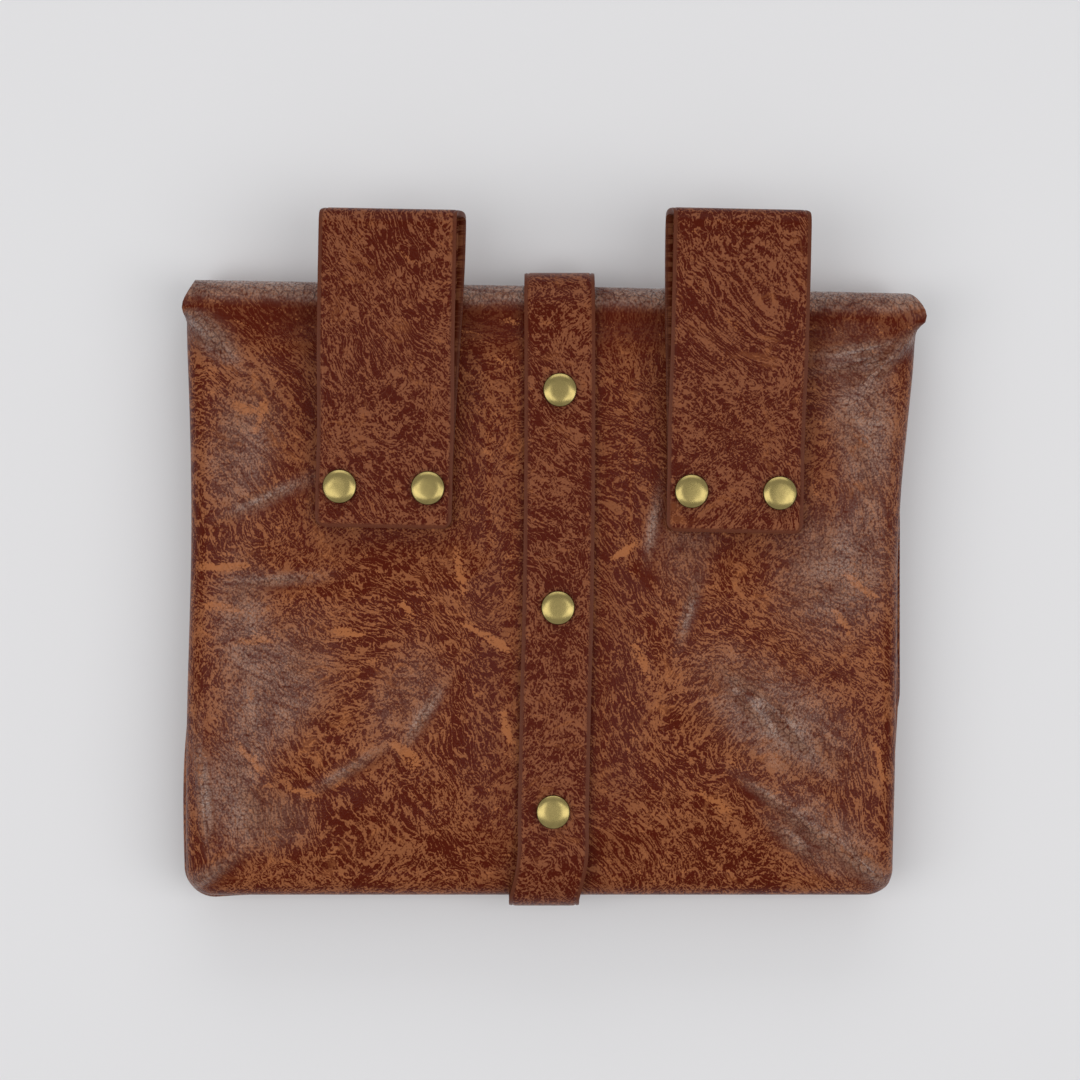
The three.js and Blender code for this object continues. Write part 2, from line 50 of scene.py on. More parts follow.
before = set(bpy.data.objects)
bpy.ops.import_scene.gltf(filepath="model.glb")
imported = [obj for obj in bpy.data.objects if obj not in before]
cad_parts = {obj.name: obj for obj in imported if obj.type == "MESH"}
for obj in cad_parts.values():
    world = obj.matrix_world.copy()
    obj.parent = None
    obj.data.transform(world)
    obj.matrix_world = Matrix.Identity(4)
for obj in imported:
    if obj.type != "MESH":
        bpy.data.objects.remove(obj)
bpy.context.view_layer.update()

BODY = "root"
GRAIN_MAP = "grain"
MILLIMETRES = (1000.0,) * 3

# Edges of the back from bottom to top: half widths as shares of half the body width, and how far the
# gusset's belly stands beyond them, as shares of the rim height.
SIDES = {
    "up": (0.0, 0.12, 0.22, 0.33, 0.45, 0.55, 0.67, 0.8, 0.9, 1.0),
    "left": (0.996, 0.999, 0.998, 0.995, 0.989, 0.985, 0.985, 0.99, 0.996, 0.998),
    "right": (0.966, 0.971, 0.975, 0.978, 0.981, 0.982, 0.992, 1.013, 1.028, 1.028),
    "left_belly": (0.05, 0.06, 0.05, 0.0, 0.0, 0.0, 0.0, 0.0, 0.0, 0.0),
    "right_belly": (0.0, 0.01, 0.02, 0.05, 0.01, 0.0, 0.0, 0.0, 0.0, 0.0),
}

# Centre line of the strap on the back and on the front, as shares of the body width
STRAP_COURSE = {
    "up": (0.0, 0.05, 0.15, 0.318, 0.47, 0.82, 1.0),
    "back": (-0.0012, 0.0088, 0.0115, 0.0145, 0.0178, 0.0205, 0.0202),
    "front": (-0.0012, 0.0, 0.001, 0.0024, 0.007, 0.0165, 0.0202),
}

# Swells and dents of the back: place as shares of half the width and half the height, length and
# width as shares of half the height, turn in degrees and rise as a share of the crown.
SWELLS = (
    (-0.8, 0.52, 0.26, 0.11, 84, 0.42),
    (-0.79, -0.04, 0.2, 0.1, 100, 0.4),
    (-0.66, -0.36, 0.3, 0.12, 52, 0.42),
    (-0.82, -0.66, 0.22, 0.1, 78, 0.4),
    (-0.7, 0.2, 0.24, 0.08, 8, -0.22),
    (0.82, 0.36, 0.3, 0.11, 94, 0.44),
    (0.76, -0.14, 0.22, 0.12, 70, 0.44),
    (0.52, -0.42, 0.3, 0.09, -36, 0.38),
    (0.68, -0.72, 0.24, 0.09, -20, 0.34),
    (0.7, -0.52, 0.28, 0.06, -32, -0.24),
)

# Sharp creases of the back, in metres about the middle of the body: place, half length, half width,
# turn in degrees and rise, which the sizes' creases multiply.
CREASES = (
    (-0.0965, 0.0745, 0.009, 0.0018, -43, 0.0018),
    (0.101, 0.069, 0.011, 0.002, 44, 0.0018),
    (0.091, 0.0695, 0.012, 0.0014, 9, 0.0005),
    (0.09, 0.0655, 0.011, 0.0013, 12, -0.0005),
    (0.0565, -0.0285, 0.0065, 0.0013, -48, 0.0006),
    (0.0605, -0.035, 0.0085, 0.0013, -46, 0.0006),
    (0.066, -0.0345, 0.0095, 0.0014, -41, 0.0007),
    (0.071, -0.0415, 0.0075, 0.0013, -44, 0.0005),
    (0.0625, -0.0575, 0.0085, 0.0014, -36, 0.0005),
    (0.0745, -0.0665, 0.0105, 0.0014, -38, 0.0006),
    (0.071, -0.0715, 0.0085, 0.0013, -40, 0.0005),
    (-0.0956, -0.0804, 0.0087, 0.002, 35, 0.0016),
    (-0.0982, -0.0575, 0.016, 0.0018, 96, 0.0009),
    (0.0925, -0.0795, 0.0087, 0.002, -42, 0.0014),
    (-0.075, 0.0035, 0.0105, 0.0014, 4, -0.0005),
    (-0.0785, 0.0275, 0.012, 0.0017, 24, -0.0005),
    (-0.0565, -0.051, 0.0105, 0.0014, 32, 0.0005),
    (-0.035, -0.0355, 0.0095, 0.0014, 58, 0.0004),
    (0.0305, 0.0185, 0.0095, 0.0014, 80, 0.0005),
    (0.0405, -0.0055, 0.0085, 0.0014, 74, 0.0004),
)
# Places beside a crease, in half widths off its ridge: the painted sheen on it and the painted shade at its
# foot
CREASE_SHEEN, CREASE_FOOT = -0.2, -1.7

# Slight waves of the back, each with its own direction: how many, how long in metres, and how high as
# a share of the length
RIPPLES = 16
RIPPLE_LENGTHS = (0.008, 0.026)
RIPPLE_RISE = 0.0045

# Tan streaks of the back: place, half length, half width and turn, in metres and degrees.
STREAKS = (
    (-0.0807, 0.0502, 0.0063, 0.0013, 72),
    (-0.0856, 0.0522, 0.0042, 0.0012, -21),
    (-0.091, 0.0068, 0.0088, 0.0011, 0),
    (-0.0927, -0.0046, 0.0068, 0.0013, -8),
    (-0.0836, -0.0143, 0.007, 0.0012, 3),
    (-0.0551, -0.0118, 0.0048, 0.0011, -17),
    (-0.0394, -0.0463, 0.0065, 0.0016, -45),
    (-0.0836, -0.0483, 0.0077, 0.0011, -49),
    (-0.0699, -0.0574, 0.005, 0.0011, -17),
    (-0.0394, -0.0046, 0.0032, 0.0012, -60),
    (-0.0242, 0.0059, 0.0074, 0.0011, -76),
    (-0.0174, -0.0126, 0.009, 0.0011, -33),
    (-0.0111, -0.0392, 0.0065, 0.0011, -77),
    (0.0223, 0.0111, 0.0048, 0.0011, 31),
    (0.0274, -0.0197, 0.006, 0.0011, -63),
    (0.0851, -0.0089, 0.0054, 0.0011, -60),
    (0.0899, 0.0014, 0.007, 0.0011, -35),
    (0.0962, -0.05, 0.0048, 0.0012, -80),
    (0.0482, -0.0601, 0.0066, 0.0011, -40),
    (0.0655, 0.0312, 0.0052, 0.0011, -25),
)

# Patches of the back with a painted sheen and a glossier coat, in metres about the middle of the body:
# place, half length, half width, turn in degrees and strength.
GLOSS_AND_SHEEN_PATCHES = (
    (-0.096, 0.073, 0.011, 0.005, -45, 0.6),
    (-0.086, 0.042, 0.018, 0.0095, 80, 0.55),
    (-0.087, -0.006, 0.015, 0.008, 86, 0.55),
    (-0.077, -0.027, 0.017, 0.014, 60, 0.6),
    (-0.088, -0.055, 0.016, 0.0085, 80, 0.6),
    (-0.078, -0.066, 0.011, 0.008, 20, 0.5),
    (0.091, 0.049, 0.024, 0.0095, 96, 0.7),
    (0.083, 0.006, 0.019, 0.0155, 60, 0.65),
    (0.066, -0.036, 0.024, 0.012, -34, 0.6),
    (0.08, -0.071, 0.018, 0.008, -38, 0.55),
    (0.04, 0.01, 0.014, 0.008, 80, 0.3),
    (-0.04, -0.03, 0.014, 0.009, 60, 0.3),
)

# The painted shade under the top edge: how far below the fold line it is darkest, how wide it is in
# metres and how dark, then how dark the painted shade is where strap and loops press the leather
SHADE_BELOW, SHADE_WIDTH, SHADE_DEPTH = 0.001, 0.0085, 0.8
PRESSED_SHADE = 0.35

# The flap rises over the stud from this far above the strap's lap and over this length, in laps. The
# front panel falls to the surface below the hem within this share of the height.
STUD_RISE_START, STUD_RISE = 0.85, 0.75
HEM_FALL, HEM_EASE = 0.135, 0.85

# The gusset: its ends as shares of the way up the back, the share of its width that is tucked into
# each roll, and the angles in degrees of its hidden edges and of where it leaves the rolls
GUSSET_TOP = 0.96
TUCKED = 0.25
BACK_TUCK, FRONT_TUCK, LEAVING = 50, 58, 84

STRAP_RIVETS = ("strap_rivet_bottom", "strap_rivet_middle", "strap_rivet_top")
STUD_UP = 0.318

# The loops: place across as a share of the body width, height of the rivets as a share of the body
# height, how far the top leans to the right in degrees, and the under layer's shift at the fold.
LOOPS = {
    "left": {"across": -0.2197, "up": 0.667, "lean": 1.1, "skew": 0.0024},
    "right": {"across": 0.2599, "up": 0.659, "lean": 1.2, "skew": -0.0019},
}
LOOP_RIVETS = ("left_outer", "left_inner", "right_inner", "right_outer")

# A rivet's cap: how far its rounded rim bulges as a share of the radius, the rim's height and rise as a
# share of the cap's, the angles where the rim starts and ends, and how flat the dome is
RIM_BULGE, RIM_ROUND = 0.18, 0.36
RIM_START, RIM_END = math.pi * 0.85, 0.42
DOME_FLATNESS = 4.5

# Its inner cap: radius, height, and the bevel's width and height, in metres
INNER_CAP, INNER_HEIGHT = 0.0045, 0.001
INNER_BEVEL = (0.0005, 0.0004)

# Radii in metres to which cut edges are rounded, of the hide, of the pocket and of strap and loops
HIDE_EDGE, POCKET_EDGE, BAND_EDGE = 0.0004, 0.0003, 0.0006


def length(name, default, description):
    """A length that a user may change."""
    return FloatProperty(
        name=name, description=description, default=default, min=0.0, unit="LENGTH", precision=4
    )


def share(name, default, description):
    """A share from nothing to one that a user may change."""
    return FloatProperty(
        name=name, description=description, default=default, min=0.0, max=1.0, subtype="FACTOR"
    )


def colour(name, default, description):
    """A colour that a user may change, in linear light."""
    return FloatVectorProperty(
        name=name, description=description, default=default, size=3, min=0.0, max=1.0, subtype="COLOR"
    )


class PouchSizes(PropertyGroup):
    """Sizes of the pouch's leather."""

    width: length("Width", 0.208, "Across the rolled edges of the back")
    height: length("Height", 0.1764, "From the bottom edge to the top fold")
    rim: length("Rim", 0.024, "Height of the back's edges above the surface")
    crown: length("Crown", 0.0065, "Rise of the cushioned back above its edges")
    hide: length("Hide", 0.0016, "Thickness of the body leather")
    gap: length("Gap", 0.0003, "Space between pieces that touch")
    back_roll: length("Back roll", 0.008, "Radius of the back's rolled edge")
    front_roll: length("Front roll", 0.006, "Radius of the front's rolled edge")
    front_inset: length("Front inset", 0.0015, "Front panel's edge inside the back's edge")
    tuck: length("Tuck", 0.00065, "Space between a rolled edge and the gusset tucked into it")
    ear: length("Ear", 0.0072, "Length over which the rolled edge opens out at the top fold")
    left_ear_cut: length("Left ear cut", 0.0068, "From where the left ear narrows to the top fold")
    right_ear_cut: length("Right ear cut", 0.0005, "From where the right ear narrows to the top fold")
    flap_corner: length("Flap corner", 0.02, "Radius of the flap's corners")
    flap_clearance: length("Flap clearance", 0.0008, "Between the flap and the front panel")
    strap_width: length("Strap width", 0.0202, "Width of the closing strap")
    strap_thickness: length("Strap thickness", 0.002, "Thickness of the closing strap")
    strap_top: length("Strap over the top", 0.0038, "How far the strap stands beyond the fold")
    strap_bottom: length("Strap below", 0.0032, "How far it stands beyond the bottom edge")
    strap_lap: length("Strap lap", 0.038, "Length of strap that lies double at the stud")
    seat_rise: length("Seat rise", 0.003, "The flat that strap and loops press into the back")
    seat_margin: length("Seat margin", 0.0025, "Flat beyond the strap's edge")
    seat_spread: length("Seat spread", 0.017, "Width of the slope beside that flat")
    nest_spread: length("Nest spread", 0.014, "Width of the slope beside the strap on the front")
    slack: length("Slack", 0.0003, "Extra room round the strap on the front")
    loop_width: length("Loop width", 0.0388, "Width of a belt loop")
    loop_thickness: length("Loop thickness", 0.002, "Thickness of a belt loop's leather")
    loop_bend: length("Loop bend", 0.0032, "Inside radius of a loop's fold")
    loop_reach: length("Loop reach", 0.0202, "How far a loop stands beyond the top edge")
    loop_tail: length("Loop tail", 0.0115, "From the rivets to the cut ends")
    margin: length("Margin", 0.0011, "From the cut edges of strap and loops to the groove")
    corner: length("Corner", 0.003, "Radius of the corners of strap and loops")
    dimple: length("Dimple", 0.0004, "How deep a rivet presses the leather round it")
    cap: length("Cap", 0.0048, "Radius of a rivet's cap")
    cap_height: length("Cap height", 0.0017, "Height of a rivet's cap")
    post: length("Post", 0.0015, "Radius of a rivet's post")
    stud_head: length("Stud head", 0.0018, "Height of the stud's head")
    stud_base: length("Stud base", 0.001, "Height of the stud's base")
    top_lean: share("Top lean", 0.019, "The top edge drops to the right by this share")
    fold: share("Fold", 0.42, "Radius of each half of the top fold, as a share of the depth")
    flap: share("Flap", 0.785, "Length of the flap as a share of the height")
    flap_trim: share("Flap trim", 0.5, "Width left of the rolled strip over the fold")
    mouth: share("Mouth", 0.03, "The pocket's mouth below the fold, as a share of the flap")
    seat: share("Seat", 0.84, "Share of the back over which the strap lies level")
    crease: FloatProperty(name="Creases", description="Times their height", default=2.0, min=0.0)
    rivet_spread: share("Rivet spread", 0.644, "Between a loop's rivets, as a share of its width")


class PouchFinish(PropertyGroup):
    """Colours of the leather, the edge paint and the brass."""

    body_dark: colour("Body dark", (0.074, 0.0065, 0.0007), "Dark flecks of the body leather")
    body_light: colour("Body light", (0.265, 0.091, 0.036), "Fine light net of the body leather")
    body_streak: colour("Body streak", (0.34, 0.118, 0.042), "Wide tan streaks of the body leather")
    strap_dark: colour("Strap dark", (0.069, 0.006, 0.0006), "Dark flecks of strap and loops")
    strap_light: colour("Strap light", (0.215, 0.071, 0.031), "Fine light net of strap and loops")
    strap_streak: colour("Strap streak", (0.26, 0.085, 0.03), "Wide streaks of strap and loops")
    edge: colour("Edge paint", (0.105, 0.028, 0.013), "Painted cut edges")
    # The sheen's colour, painted into the leather where the sheen is painted
    painted_sheen_tone: colour("Worn leather", (0.27, 0.135, 0.085), "Leather rubbed to a sheen")
    brass: colour("Brass", (0.38, 0.3, 0.115), "Antique brass")
    patina: colour("Patina", (0.3, 0.24, 0.09), "Dulled brass")


class PouchStudio(PropertyGroup):
    """The camera, the lights and the floor."""

    camera_x: FloatProperty(name="Camera x", default=-0.0033, unit="LENGTH")
    camera_y: FloatProperty(name="Camera y", default=0.0054, unit="LENGTH")
    camera_height: length("Camera height", 0.728, "Height of the lens above the surface")
    view: FloatProperty(
        name="View angle", description="Across the picture", default=math.radians(24.8), subtype="ANGLE"
    )
    floor: colour("Floor", (0.735, 0.74, 0.765), "The pale floor")
    side_power: FloatProperty(name="Side lights", description="Watts each", default=2.5, unit="POWER")
    top_power: FloatProperty(name="Top light", description="Watts", default=2.6, unit="POWER")
    surround: FloatProperty(name="Surround", description="Strength of the room's light", default=0.53)


def smooth(t):
    """Zero below nothing, one above one, with a smooth step between."""
    t = np.clip(t, 0.0, 1.0)
    return t * t * (3 - 2 * t)


def between(a, b, t):
    return a + (b - a) * t


def follow(table, column, up):
    """A column of a table as a smooth function of the height."""
    known, values = np.array(table["up"]), np.array(table[column])
    slopes = np.gradient(values, known)
    up = np.clip(up, 0.0, 1.0)
    i = np.clip(np.searchsorted(known, up) - 1, 0, len(known) - 2)
    span = known[i + 1] - known[i]
    t = (up - known[i]) / span
    rise = values[i + 1] - values[i]
    start, end = slopes[i] * span - rise, rise - slopes[i + 1] * span
    return values[i] + t * rise + t * (1 - t) * (start * (1 - t) + end * t)


def by_side(side, kind, up):
    """A column of the table of the sides, for the left or the right by the sign of a side."""
    return np.where(side < 0, follow(SIDES, "left" + kind, up), follow(SIDES, "right" + kind, up))


def stroke(x, y, at_x, at_y, long, wide, turn):
    """Places as seen along and across a stroke, in shares of its half length and half width."""
    cos, sin = math.cos(math.radians(turn)), math.sin(math.radians(turn))
    dx, dy = x - at_x, y - at_y
    return (dx * cos + dy * sin) / long, (dy * cos - dx * sin) / wide


class Form:
    """The pouch's surfaces as functions of the leather's own columns and rows."""

    def __init__(self, sizes):
        s = self.s = sizes
        self.half_width = s.width / 2
        self.half_height = s.height / 2
        self.turn = math.radians(80)
        self.back_reach = s.back_roll * math.sin(self.turn)
        self.front_reach = s.front_roll * math.sin(self.turn)
        self.flat_half = self.half_width - self.back_reach
        self.bottom_line = self.back_reach - self.half_height
        self.front_floor = s.front_inset + self.front_reach - self.half_height
        self.fold_reach = s.fold * s.rim
        self.hem_line = self.half_height * (1 - 2 * s.flap)
        self.seat_level = s.rim + s.seat_rise
        self.strap_lay = s.gap + s.strap_thickness / 2
        self.outer_lap = 2 * s.gap + s.stud_head + s.strap_thickness / 2
        self.inner_lap = self.outer_lap + s.strap_thickness + s.gap
        self.stud_top = self.inner_lap + s.strap_thickness / 2 + s.gap + s.stud_base
        self.strap_room = s.strap_thickness + 2 * s.gap + s.slack
        self.stud_room = self.stud_top + s.gap + s.slack
        drift = abs(self.strap_on_back(self.half_height))
        self.strap_zone = s.strap_width / 2 + s.seat_margin + s.nest_spread + drift
        self.lap_end = self.y_at(STUD_UP) + s.strap_lap / 2
        stud_low, stud_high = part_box("closure_stud")
        stud = (stud_low + stud_high) / 2
        self.shift = Vector(
            (stud.x - self.strap_on_front(self.y_at(STUD_UP)), stud.y - self.y_at(STUD_UP), 0.0)
        )

    def y_at(self, up):
        return (up - 0.5) * self.s.height

    def up_at(self, y):
        return y / self.s.height + 0.5

    def strap_on_back(self, y):
        return follow(STRAP_COURSE, "back", self.up_at(y)) * self.s.width

    def strap_on_front(self, y):
        return follow(STRAP_COURSE, "front", self.up_at(y)) * self.s.width

    def edge_at(self, side, y):
        return self.half_width * by_side(side, "", self.up_at(y))

    def fold_line(self, x):
        return self.half_height - self.fold_reach - self.s.top_lean * x

    @staticmethod
    def cushion(share_out, flat):
        """One where a share lies within the flat part, falling smoothly to zero at one."""
        return 1 - smooth((np.abs(share_out) - flat) / (1 - flat))

    def pressed(self, x, y):
        """How firmly the strap and the loops press the back flat."""
        s = self.s
        near = np.abs(x - self.strap_on_back(y)) - s.strap_width / 2
        for loop in LOOPS.values():
            aside = np.abs(x - loop["across"] * s.width) - s.loop_width / 2
            below = self.y_at(loop["up"]) - s.loop_tail - y
            near = np.minimum(near, np.maximum(aside, below))
        return 1 - smooth((near - s.seat_margin) / s.seat_spread)

    def back_level(self, x, y):
        s = self.s
        across = x / (self.edge_at(x, y) - self.back_reach)
        along = y / self.bottom_line
        inside = np.clip(1 - across**8, 0, 1) * np.clip(1 - along**8, 0, 1)
        rise = np.clip(1 - np.abs(across) ** 3.2, 0, 1) * np.clip(1 - np.abs(along) ** 5, 0, 1)
        half = self.half_height
        for at_x, at_y, long, wide, turn, high in SWELLS:
            place = at_x * self.half_width, at_y * half
            u, v = stroke(x, y, *place, long * half, wide * half, turn)
            rise = rise + high * np.exp(-u * u - v * v) * inside
        seat = s.rim + s.seat_rise * self.cushion(y / self.bottom_line, s.seat)
        return between(s.rim + s.crown * rise, seat, self.pressed(x, y))

    def fine_relief(self, x, y):
        """Sharp creases and slight ripples of the back, none where strap and loops press it."""
        across = x / self.edge_at(x, y)
        along = y / self.half_height
        inside = np.clip(1 - across**10, 0, 1) * np.clip(1 - along**12, 0, 1)
        rise = np.zeros_like(x)
        creased = np.zeros_like(x)
        for *place, high in CREASES:
            u, v = stroke(x, y, *place)
            creased = creased + self.s.crease * high * np.exp(-u * u - v * v)
        dice = np.random.default_rng(11)
        for _ in range(RIPPLES):
            wave = dice.uniform(*RIPPLE_LENGTHS)
            heading = dice.uniform(0, math.pi)
            start = dice.uniform(0, math.tau)
            phase = (x * math.cos(heading) + y * math.sin(heading)) * math.tau / wave
            rise = rise + RIPPLE_RISE * wave * np.sin(phase + start)
        return (rise * inside + creased) * (1 - self.pressed(x, y))

    def rubbed(self, column, row):
        """Where the hide gets a painted sheen and a glossier coat: in patches of the back, on the creases'
        ridges and along the top edge.
        """
        at = self.hide_point(column, row)
        found = np.zeros_like(column)
        for *place, strength in GLOSS_AND_SHEEN_PATCHES:
            u, v = stroke(at[:, 0], at[:, 1], *place)
            found = found + strength * np.exp(-((u * u + v * v) ** 1.5))
        found = found + self.beside_creases(at[:, 0], at[:, 1], CREASE_SHEEN) * 0.9
        found = np.where(row <= 1, found, 0.0) + smooth((row - 1.1) / 0.4) * (row < 2.5)
        return np.clip(found, 0.0, 1.0)

    def beside_creases(self, x, y, off):
        """Places along the creases, off their ridges by a number of half widths."""
        near = np.zeros_like(x)
        for *place, _ in CREASES:
            u, v = stroke(x, y, *place)
            near = np.maximum(near, np.exp(-u * u - (v - off) ** 2))
        return near

    def streaked(self, column, row):
        """Where the hide has its tan streaks."""
        at = self.hide_point(column, row)
        found = np.zeros_like(column)
        for place in STREAKS:
            u, v = stroke(at[:, 0], at[:, 1], *place)
            found = np.maximum(found, np.exp(-(u**4) - v * v))
        return np.where(row <= 1, found, 0.0)

    def shaded(self, column, row):
        """Where shade is painted on the hide: below the top edge, at the sides of strap and loops and at
        the foot of the creases.
        """
        at = self.hide_point(column, row)
        off = at[:, 1] - self.fold_line(at[:, 0]) + SHADE_BELOW
        below = np.exp(-((off / SHADE_WIDTH) ** 2))
        near = self.pressed(at[:, 0], at[:, 1]) * PRESSED_SHADE
        foot = self.beside_creases(at[:, 0], at[:, 1], CREASE_FOOT)
        return np.clip(np.where(row < 2, below * SHADE_DEPTH + foot, 0.0) + near, 0.0, 1.0)

    def beside_strap(self, x, y):
        s = self.s
        off = np.abs(x - self.strap_on_front(y)) - s.strap_width / 2 - s.seat_margin
        return 1 - smooth(off / s.nest_spread)

    def flap_level(self, x, y):
        lap = self.s.strap_lap
        over_stud = smooth((self.lap_end + STUD_RISE_START * lap - y) / (STUD_RISE * lap))
        return between(self.strap_room, self.stud_room, over_stud) * self.beside_strap(x, y)

    def front_level(self, x, y):
        s = self.s
        fall = HEM_FALL * s.height
        covered = smooth((y - self.hem_line + fall) / (HEM_EASE * fall))
        bare = s.gap + (self.strap_room + s.gap) * self.beside_strap(x, y)
        return between(bare, self.flap_level(x, y) + s.hide + s.flap_clearance, covered)

    def rolled(self, side, down, radius, ease):
        """The outer strip of a panel turned over a radius, both strips sharing one round corner."""
        across = side * np.sqrt(1 - down * down / 2)
        along = down * np.sqrt(1 - side * side / 2)
        out_share = np.maximum(np.hypot(across, along), 1e-9)
        bend = radius / ease
        angle = out_share * self.turn * ease
        out = bend * np.sin(angle) / out_share
        return across * out, along * out, bend - bend * np.cos(angle)

    def column_x(self, column, flat):
        inner = np.clip(column, -1, 1)
        return inner * self.flat_half + np.abs(inner) ** 3 * np.sign(column) * (flat - self.flat_half)

    def back_spot(self, column, row):
        """The side, the half width of the flat part, and x and y before the edges are rolled."""
        side = np.sign(column)
        on_back = np.clip(row, 0, 1)
        level_y = between(self.bottom_line, self.fold_line(0.0), on_back)
        flat = self.edge_at(side, level_y) - self.back_reach
        x0 = self.column_x(column, flat)
        return side, flat, x0, between(self.bottom_line, self.fold_line(x0), on_back)

    def hide_point(self, column, row):
        """Rows run from -1 at the bottom cut edge: 0 to 1 is the back, 1 to 4 the fold, 4 to 5 the flap."""
        s = self.s
        side, flat, x0, y0 = self.back_spot(column, row)
        quarter = self.fold_reach * math.pi / 2
        lead = y0 - self.fold_line(x0) + np.clip(row - 1, 0, 1) * quarter
        # Just above nothing where the edge is open, because the bend's radius is divided by it
        ease = 1.01 - smooth((lead + 0.35 * s.ear) / s.ear)
        ear_cut = np.where(side < 0, s.left_ear_cut, s.right_ear_cut)
        trim = between(1.0, s.flap_trim, smooth((lead + ear_cut) / (1.2 * quarter)))
        strip = np.maximum(np.abs(column) - 1, 0) * trim
        out_x, out_y, drop = self.rolled(strip, np.maximum(-row, 0), s.back_roll, ease)
        x = x0 + side * out_x
        y = y0 - out_y
        on = np.stack([x, y, self.back_level(x, y) - drop + self.fine_relief(x, y)], axis=-1)

        line = self.fold_line(x)
        high = self.back_level(x, line)
        low = self.flap_level(x, line)
        radius = s.fold * (high - low)
        turn = (np.clip(row - 1, 0, 1) + np.clip(row - 3, 0, 1)) * math.pi / 2
        centre = between(high - radius, low + radius, np.clip(row - 2, 0, 1))
        over = np.stack(
            [
                x,
                line + (self.fold_reach - drop) * np.sin(turn),
                centre + (radius - drop) * np.cos(turn),
            ],
            axis=-1,
        )

        flap_y = between(line, self.hem_line, row - 4)
        rise = np.clip(s.flap_corner - (flap_y - self.hem_line), 0, s.flap_corner)
        cut = s.flap_corner - np.sqrt(s.flap_corner**2 - rise**2)
        beyond = np.maximum(np.abs(x) - self.strap_zone, 0)
        reach = flat + s.flap_trim * s.back_roll * self.turn - self.strap_zone
        flap_x = x - side * cut * beyond / reach
        under = np.stack([flap_x, flap_y, self.flap_level(flap_x, flap_y)], axis=-1)
        row = row[:, None]
        return np.where(row <= 1, on, np.where(row < 4, over, under))

    def front_point(self, column, row):
        """Rows run from the mouth to 1 at the flap's hem, 2 at the bottom line and 3 at the cut."""
        s = self.s
        side = np.sign(column)

        def height(x):
            upper = between(self.fold_line(x), self.hem_line, np.minimum(row, 1))
            lower = between(self.hem_line, self.front_floor, np.clip(row - 1, 0, 1))
            return np.where(row < 1, upper, lower)

        flat = self.edge_at(side, height(0.0)) - s.front_inset - self.front_reach
        x0 = self.column_x(column, flat)
        y0 = height(x0)
        strip = np.maximum(np.abs(column) - 1, 0)
        out_x, out_y, drop = self.rolled(strip, np.maximum(row - 2, 0), s.front_roll, 1.0)
        z = self.front_level(x0, y0) + drop
        return np.stack([x0 + side * out_x, y0 - out_y, z], axis=-1)

    def gusset_point(self, along, around):
        """Along runs from the left top round the bottom to the right top, around from the back's roll
        over the belly to the front's roll, both from 0 to 1."""
        s = self.s
        leg = (1 + GUSSET_TOP) / (2 * (1 + GUSSET_TOP) + 4)
        column = np.interp(along, (0, leg, 1 - leg, 1), (-2, -2, 2, 2))
        row = np.interp(along, (0, leg, 1 - leg, 1), (GUSSET_TOP, -1, -1, GUSSET_TOP))
        side, _, x0, y0 = self.back_spot(column, row)
        strip = np.maximum(np.abs(column) - 1, 0)
        out_x, out_y, _ = self.rolled(strip, np.maximum(-row, 0), s.back_roll, 1.0)
        out = np.stack([side * out_x, -out_y], axis=-1)
        out = out / np.linalg.norm(out, axis=-1, keepdims=True)
        belly = by_side(side, "_belly", self.up_at(y0))
        belly = belly * np.clip(np.abs(column), 0, 1) ** 6 * s.rim

        upper, lower = s.back_roll - s.hide - s.tuck, s.front_roll - s.hide - s.tuck
        high, low, turn = [math.radians(angle) for angle in (BACK_TUCK, FRONT_TUCK, LEAVING)]
        back_z = s.rim - s.back_roll
        front_x = self.back_reach - s.front_inset - self.front_reach
        front_z = self.front_level(x0, y0) + s.front_roll
        start_x, start_z = upper * math.sin(turn), back_z + upper * math.cos(turn)
        end_x, end_z = front_x + lower * math.sin(turn), front_z - lower * math.cos(turn)

        t = np.clip((around - TUCKED) / (1 - 2 * TUCKED), 0, 1)
        stand = self.back_reach + belly - (start_x + end_x) / 2
        across = between(start_x, end_x, t) + stand * np.sin(math.pi * t)
        level = between(start_z, end_z, t)
        in_back, in_front = around < TUCKED, around > 1 - TUCKED
        head = between(high, turn, np.clip(around / TUCKED, 0, 1))
        foot = between(turn, low, np.clip((around - 1 + TUCKED) / TUCKED, 0, 1))
        across = np.where(in_back, upper * np.sin(head), across)
        level = np.where(in_back, back_z + upper * np.cos(head), level)
        across = np.where(in_front, front_x + lower * np.sin(foot), across)
        level = np.where(in_front, front_z - lower * np.cos(foot), level)
        return np.stack([x0 + out[..., 0] * across, y0 + out[..., 1] * across, level], axis=-1)


class Socket:
    """A value inside a material. Python's operators on it add the Math nodes."""

    def __init__(self, shader, link):
        self.shader = shader
        self.link = link

    def maths(self, operation, first, second):
        return self.shader.add("ShaderNodeMath", {"operation": operation}, {0: first, 1: second})

    def __add__(self, other):
        return self.maths("ADD", self, other)

    def __sub__(self, other):
        return self.maths("SUBTRACT", self, other)

    def __rsub__(self, other):
        return self.maths("SUBTRACT", other, self)

    def __mul__(self, other):
        return self.maths("MULTIPLY", self, other)

    __radd__ = __add__
    __rmul__ = __mul__


